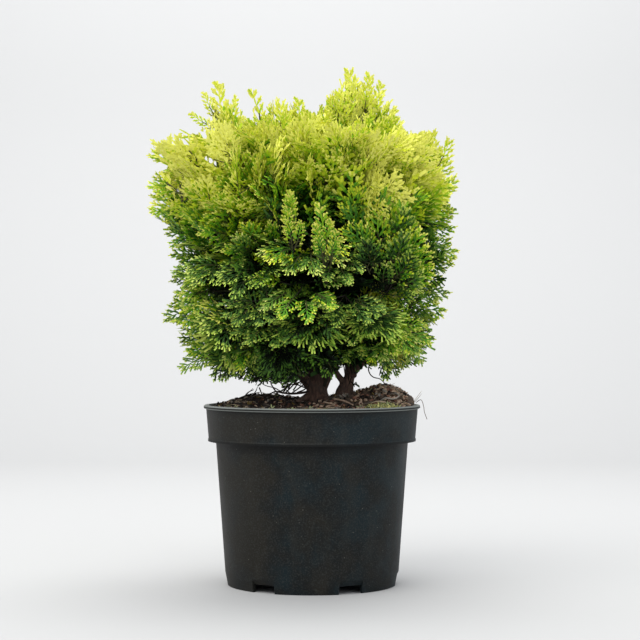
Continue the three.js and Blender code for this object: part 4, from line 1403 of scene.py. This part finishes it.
bareTwigs = [
    ([(-3, -12, 199), (-12, -17, 197.5), (-22, -20, 197), (-30, -22, 198), (-37, -23, 199.5)], [1.3, 0.9]),
    ([(-37, -23, 199.5), (-40, -24, 204), (-42, -26, 209), (-40, -29, 217)], [0.9, 0.5]),
    ([(-37, -23, 199.5), (-43, -22, 197), (-50, -20, 194)], [0.8, 0.5]),
    ([(-42, -26, 209), (-47, -28, 212), (-52, -31, 215)], [0.6, 0.4]),
    ([(-30, -22, 198), (-26, -25, 204), (-24, -28, 211), (-23, -32, 218)], [0.7, 0.4]),
    ([(-27, -21, 198), (-20, -24, 205), (-14, -27, 212), (-9, -30, 219)], [0.8, 0.5]),
    ([(-20, -20, 198), (-13, -22, 203), (-7, -24, 208), (-3, -26, 213)], [0.8, 0.5]),
    ([(-15, -18, 198), (-8, -19, 201), (-3, -20, 205)], [0.9, 0.6]),
    ([(-44, -34, 219), (-60, -44, 211), (-72, -50, 214), (-83, -56, 217), (-94, -60, 216)], [0.7, 0.35]),
    ([(-4, -14, 202), (-14, -22, 206), (-26, -28, 214), (-36, -34, 226)], [0.9, 0.5]),
    ([(-2, -14, 205), (-10, -24, 211), (-18, -30, 218), (-24, -36, 228)], [0.9, 0.5]),
    ([(-14, -22, 206), (-24, -24, 207), (-34, -27, 209), (-46, -32, 216)], [0.7, 0.4]),
    ([(-22, -20, 197), (-28, -26, 203), (-34, -30, 212), (-34, -34, 224)], [0.7, 0.4]),
    ([(-30, -22, 198), (-38, -26, 203), (-48, -30, 206), (-58, -36, 214)], [0.7, 0.35]),
    ([(35, -4, 211), (34, -8, 218), (32, -11, 230)], [0.8, 0.5]),
    ([(38, -4, 213), (36, -8, 221), (35, -12, 231)], [0.7, 0.5]),
    ([(76, -22, 206), (70, -25, 212), (63, -26, 214), (59, -26, 218), (58, -27, 224), (62, -26, 231)],
     [0.5, 0.8]),
]


# Limbs from rows in millimetres; a third entry names the tone.
def tubesFrom(rows):
    parts = []
    for places, radii, *tone in rows:
        path = curved(0.001 * np.array(places), 3 * len(places) + 1)
        parts.append((*tube(path, 0.001 * np.array(radii), 6), toneNumber[tone[0]] if tone else 0))
    return parts


def makeBareTwigs():
    material = plainMaterial("bareTwigBark", (46, 34, 28), 0.85)
    piece = linkMesh("bareTwigs", joinedMesh("bareTwigs", tubesFrom(bareTwigs), [material]))
    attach(piece, "root")


makeBareTwigs()
print("twigs made")

# bits on the potting mix: bark chips, clods, fibres, moss and fallen fingers of foliage

litter = {
    "seed": 31,
    "edge": 0.101,
    "chips": 820,
    "heapChips": 190,
    "heapAt": (0.074, 0.016),
    "clods": 430,
    "fibres": 170,
    "moss": 84,
    "mossAt": (0.074, -0.046),
    "fallen": 90,
    "heapSpread": 0.020,
    "mossSpread": 0.009,
    # length, width and height of a chip; size of a clod; length of a fibre
    "chipSize": ((0.0025, 0.007), (0.0013, 0.003), (0.0005, 0.0014)),
    "clodSize": (0.0010, 0.0030),
    "fibreLength": (0.007, 0.024),
    "mossTuft": (5, 0.0042, (0.2, 1.0)),
    "fallenTuft": (3, 0.0055, (0.0, 0.4)),
    # chances of the chip tones on the left and on the right, and where they change over
    "chipTones": ["chipDark", "chipBrown", "chipRusty", "chipTan", "chipGrey"],
    "leftOdds": (0.50, 0.24, 0.06, 0.08, 0.12),
    "rightOdds": (0.06, 0.18, 0.24, 0.40, 0.12),
    "changeAt": -0.012,
    "changeBlur": 0.02,
}
litterTones = [
    ("chipDark", (38, 26, 20)),
    ("chipBrown", (80, 52, 36)),
    ("chipRusty", (146, 102, 82)),
    ("chipTan", (186, 158, 134)),
    ("chipGrey", (142, 134, 124)),
    ("clodDark", (26, 19, 15)),
    ("clodBrown", (52, 38, 28)),
    ("fibrePale", (176, 156, 128)),
    ("fibreGrey", (120, 110, 98)),
    ("mossOlive", (222, 218, 140)),
    ("mossGreen", (178, 184, 132)),
    ("fallenStraw", (150, 126, 66)),
]
toneNumber = {name: k for k, (name, colour) in enumerate(litterTones)}


def litterSpot(rng, centre=(0, 0), spread=None):
    while True:
        if spread:
            x, y = np.array(centre) + spread * rng.normal(size=2)
        else:
            x, y = rng.uniform(-1, 1, 2) * litter["edge"]
        if math.hypot(x, y) < litter["edge"]:
            return np.array([x, y, soilHeight(x, y)])


def randomTurn(rng, tilt):
    turn = Matrix.Rotation(rng.uniform(0, 2 * math.pi), 3, "Z")
    lean = Matrix.Rotation(rng.normal(0, tilt), 3, "X") @ Matrix.Rotation(rng.normal(0, tilt), 3, "Y")
    return np.array(turn @ lean)


# A chip is a split flake: a six-sided slab, thicker at one end.
def chip(rng, spot):
    length, width, height = (rng.uniform(*span) for span in litter["chipSize"])
    outline = np.array([(-0.5, -0.2), (-0.1, -0.5), (0.42, -0.36), (0.5, 0.24), (0.08, 0.5), (-0.44, 0.3)])
    outline = (outline + rng.uniform(-0.08, 0.08, outline.shape)) * (length, width)
    top = np.column_stack([outline * 0.86, height * (0.6 + 0.5 * rng.random(6))])
    bottom = np.column_stack([outline, np.full(6, -height * 0.5)])
    points = np.concatenate([bottom, top]) @ randomTurn(rng, 0.4).T + spot + (0, 0, 0.4 * height)
    faces = [(6, 6 + k, 7 + k) for k in range(1, 5)] + [(0, k + 1, k) for k in range(1, 5)]
    for k in range(6):
        j = (k + 1) % 6
        faces += [(k, j, 6 + j), (k, 6 + j, 6 + k)]
    return points, np.array(faces)


def clod(rng, spot, ball):
    points, faces = ball
    size = rng.uniform(*litter["clodSize"])
    bumps = 1 + 0.32 * rng.uniform(-1, 1, len(points))
    squash = np.array([1, rng.uniform(0.6, 1), rng.uniform(0.5, 0.9)])
    return (points * bumps[:, None] * squash * size) @ randomTurn(rng, 1).T + spot + (0, 0, 0.3 * size), faces


def fibre(rng, spot):
    length = rng.uniform(*litter["fibreLength"])
    heading = rng.uniform(0, 2 * math.pi)
    places = [spot + (0, 0, 0.0006)]
    for _ in range(3):
        heading += rng.normal(0, 0.5)
        x, y = places[-1][:2] + length / 3 * np.array([math.cos(heading), math.sin(heading)])
        if math.hypot(x, y) > litter["edge"] + 0.002:
            break
        places.append(np.array([x, y, soilHeight(x, y) + rng.uniform(0.0004, 0.0030)]))
    if len(places) < 3:
        return None
    return tube(curved(places, 8), [0.0002, rng.uniform(0.0003, 0.0005), 0.0002], 4)


# A tuft of moss or a fallen tip: a few short fingers from one spot.
def tuft(rng, spot, count, length, rise):
    shape = emptyShape()
    for _ in range(count):
        addLobe(shape, (0, 0), rng.uniform(0, 2 * math.pi), length * rng.uniform(0.6, 1.2), 0.3 * length, 0,
                rng.uniform(*rise), 0)
    return np.array(shape["points"]) @ randomTurn(rng, 0.3).T + spot + (0, 0, 0.001), np.array(shape["faces"])


def oneOf(rng, share, first, second):
    return toneNumber[first if rng.random() < share else second]


def makeLitter():
    rng = np.random.default_rng(litter["seed"])
    parts = []
    for k in range(litter["chips"] + litter["heapChips"]):
        onHeap = k >= litter["chips"]
        spot = litterSpot(rng, litter["heapAt"], litter["heapSpread"]) if onHeap else litterSpot(rng)
        onRight = spot[0] > litter["changeBlur"] * rng.normal() + litter["changeAt"]
        odds = litter["rightOdds" if onRight else "leftOdds"]
        parts.append((*chip(rng, spot), toneNumber[str(rng.choice(litter["chipTones"], p=odds))]))
    bm = bmesh.new()
    bmesh.ops.create_icosphere(bm, subdivisions=1, radius=1)
    ball = np.array([v.co for v in bm.verts]), np.array([[v.index for v in f.verts] for f in bm.faces])
    bm.free()
    for _ in range(litter["clods"]):
        parts.append((*clod(rng, litterSpot(rng), ball), oneOf(rng, 0.6, "clodDark", "clodBrown")))
    for _ in range(litter["fibres"]):
        made = fibre(rng, litterSpot(rng))
        if made:
            parts.append((*made, oneOf(rng, 0.5, "fibrePale", "fibreGrey")))
    for _ in range(litter["moss"]):
        spot = litterSpot(rng, litter["mossAt"], litter["mossSpread"])
        parts.append((*tuft(rng, spot, *litter["mossTuft"]), oneOf(rng, 0.5, "mossOlive", "mossGreen")))
    for _ in range(litter["fallen"]):
        fallen = tuft(rng, litterSpot(rng), *litter["fallenTuft"])
        parts.append((*fallen, oneOf(rng, 0.7, "fallenStraw", "mossGreen")))
    materials = [plainMaterial(name, colour, 0.9) for name, colour in litterTones]
    piece = linkMesh("litter", joinedMesh("litter", parts, materials, smooth=False))
    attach(piece, "root")
    print("litter:", len(parts), "bits,", len(piece.data.polygons), "faces")


makeLitter()

# dry fibres that hang over the rim, and sticks that lie on the mix

strays = [
    ([(108, 4, 187), (113, 1, 190), (115.5, -1, 184), (116.5, -3, 177), (119, -5, 170)],
     [0.35, 0.3], "fibreGrey"),
    ([(104, -2, 187), (108, -4, 192), (113, -6, 199)], [0.3, 0.15], "fibrePale"),
    ([(106, 6, 187), (110, 6, 191), (114, 8, 196)], [0.3, 0.15], "fibreGrey"),
    ([(-72, 18, 191), (-67, 14, 197), (-61, 12, 200)], [0.7, 0.4], "chipDark"),
    ([(-74, 10, 192), (-66, 12, 195), (-55, 16, 197)], [0.8, 0.5], "chipDark"),
    ([(-55, 14, 202), (-53, 12, 197), (-50, 10, 192)], [0.8, 0.5], "chipDark"),
    ([(-78, 8, 190), (-70, 16, 194), (-62, 20, 201)], [0.6, 0.3], "chipBrown"),
    ([(-64, 6, 192), (-59, 12, 198), (-57, 16, 203)], [0.7, 0.3], "chipDark"),
    ([(22, -26, 192), (33, -32, 190), (42, -36, 186)], [1.0, 0.6], "chipTan"),
    ([(12, -34, 189), (22, -42, 187), (30, -48, 184)], [0.9, 0.6], "chipTan"),
    ([(68, -54, 190), (74, -60, 194), (82, -58, 193), (88, -50, 196), (84, -44, 199)],
     [0.9, 0.7], "chipGrey"),
    ([(60, -62, 189), (66, -68, 191), (74, -66, 190)], [0.7, 0.5], "fibrePale"),
    ([(78, -40, 197), (86, -44, 198), (93, -38, 196)], [0.6, 0.4], "fibreGrey"),
]


def makeStrays():
    materials = [plainMaterial("stray" + name[0].upper() + name[1:], colour, 0.9)
                 for name, colour in litterTones]
    piece = linkMesh("strays", joinedMesh("strays", tubesFrom(strays), materials))
    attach(piece, "root")


makeStrays()
print("litter made")
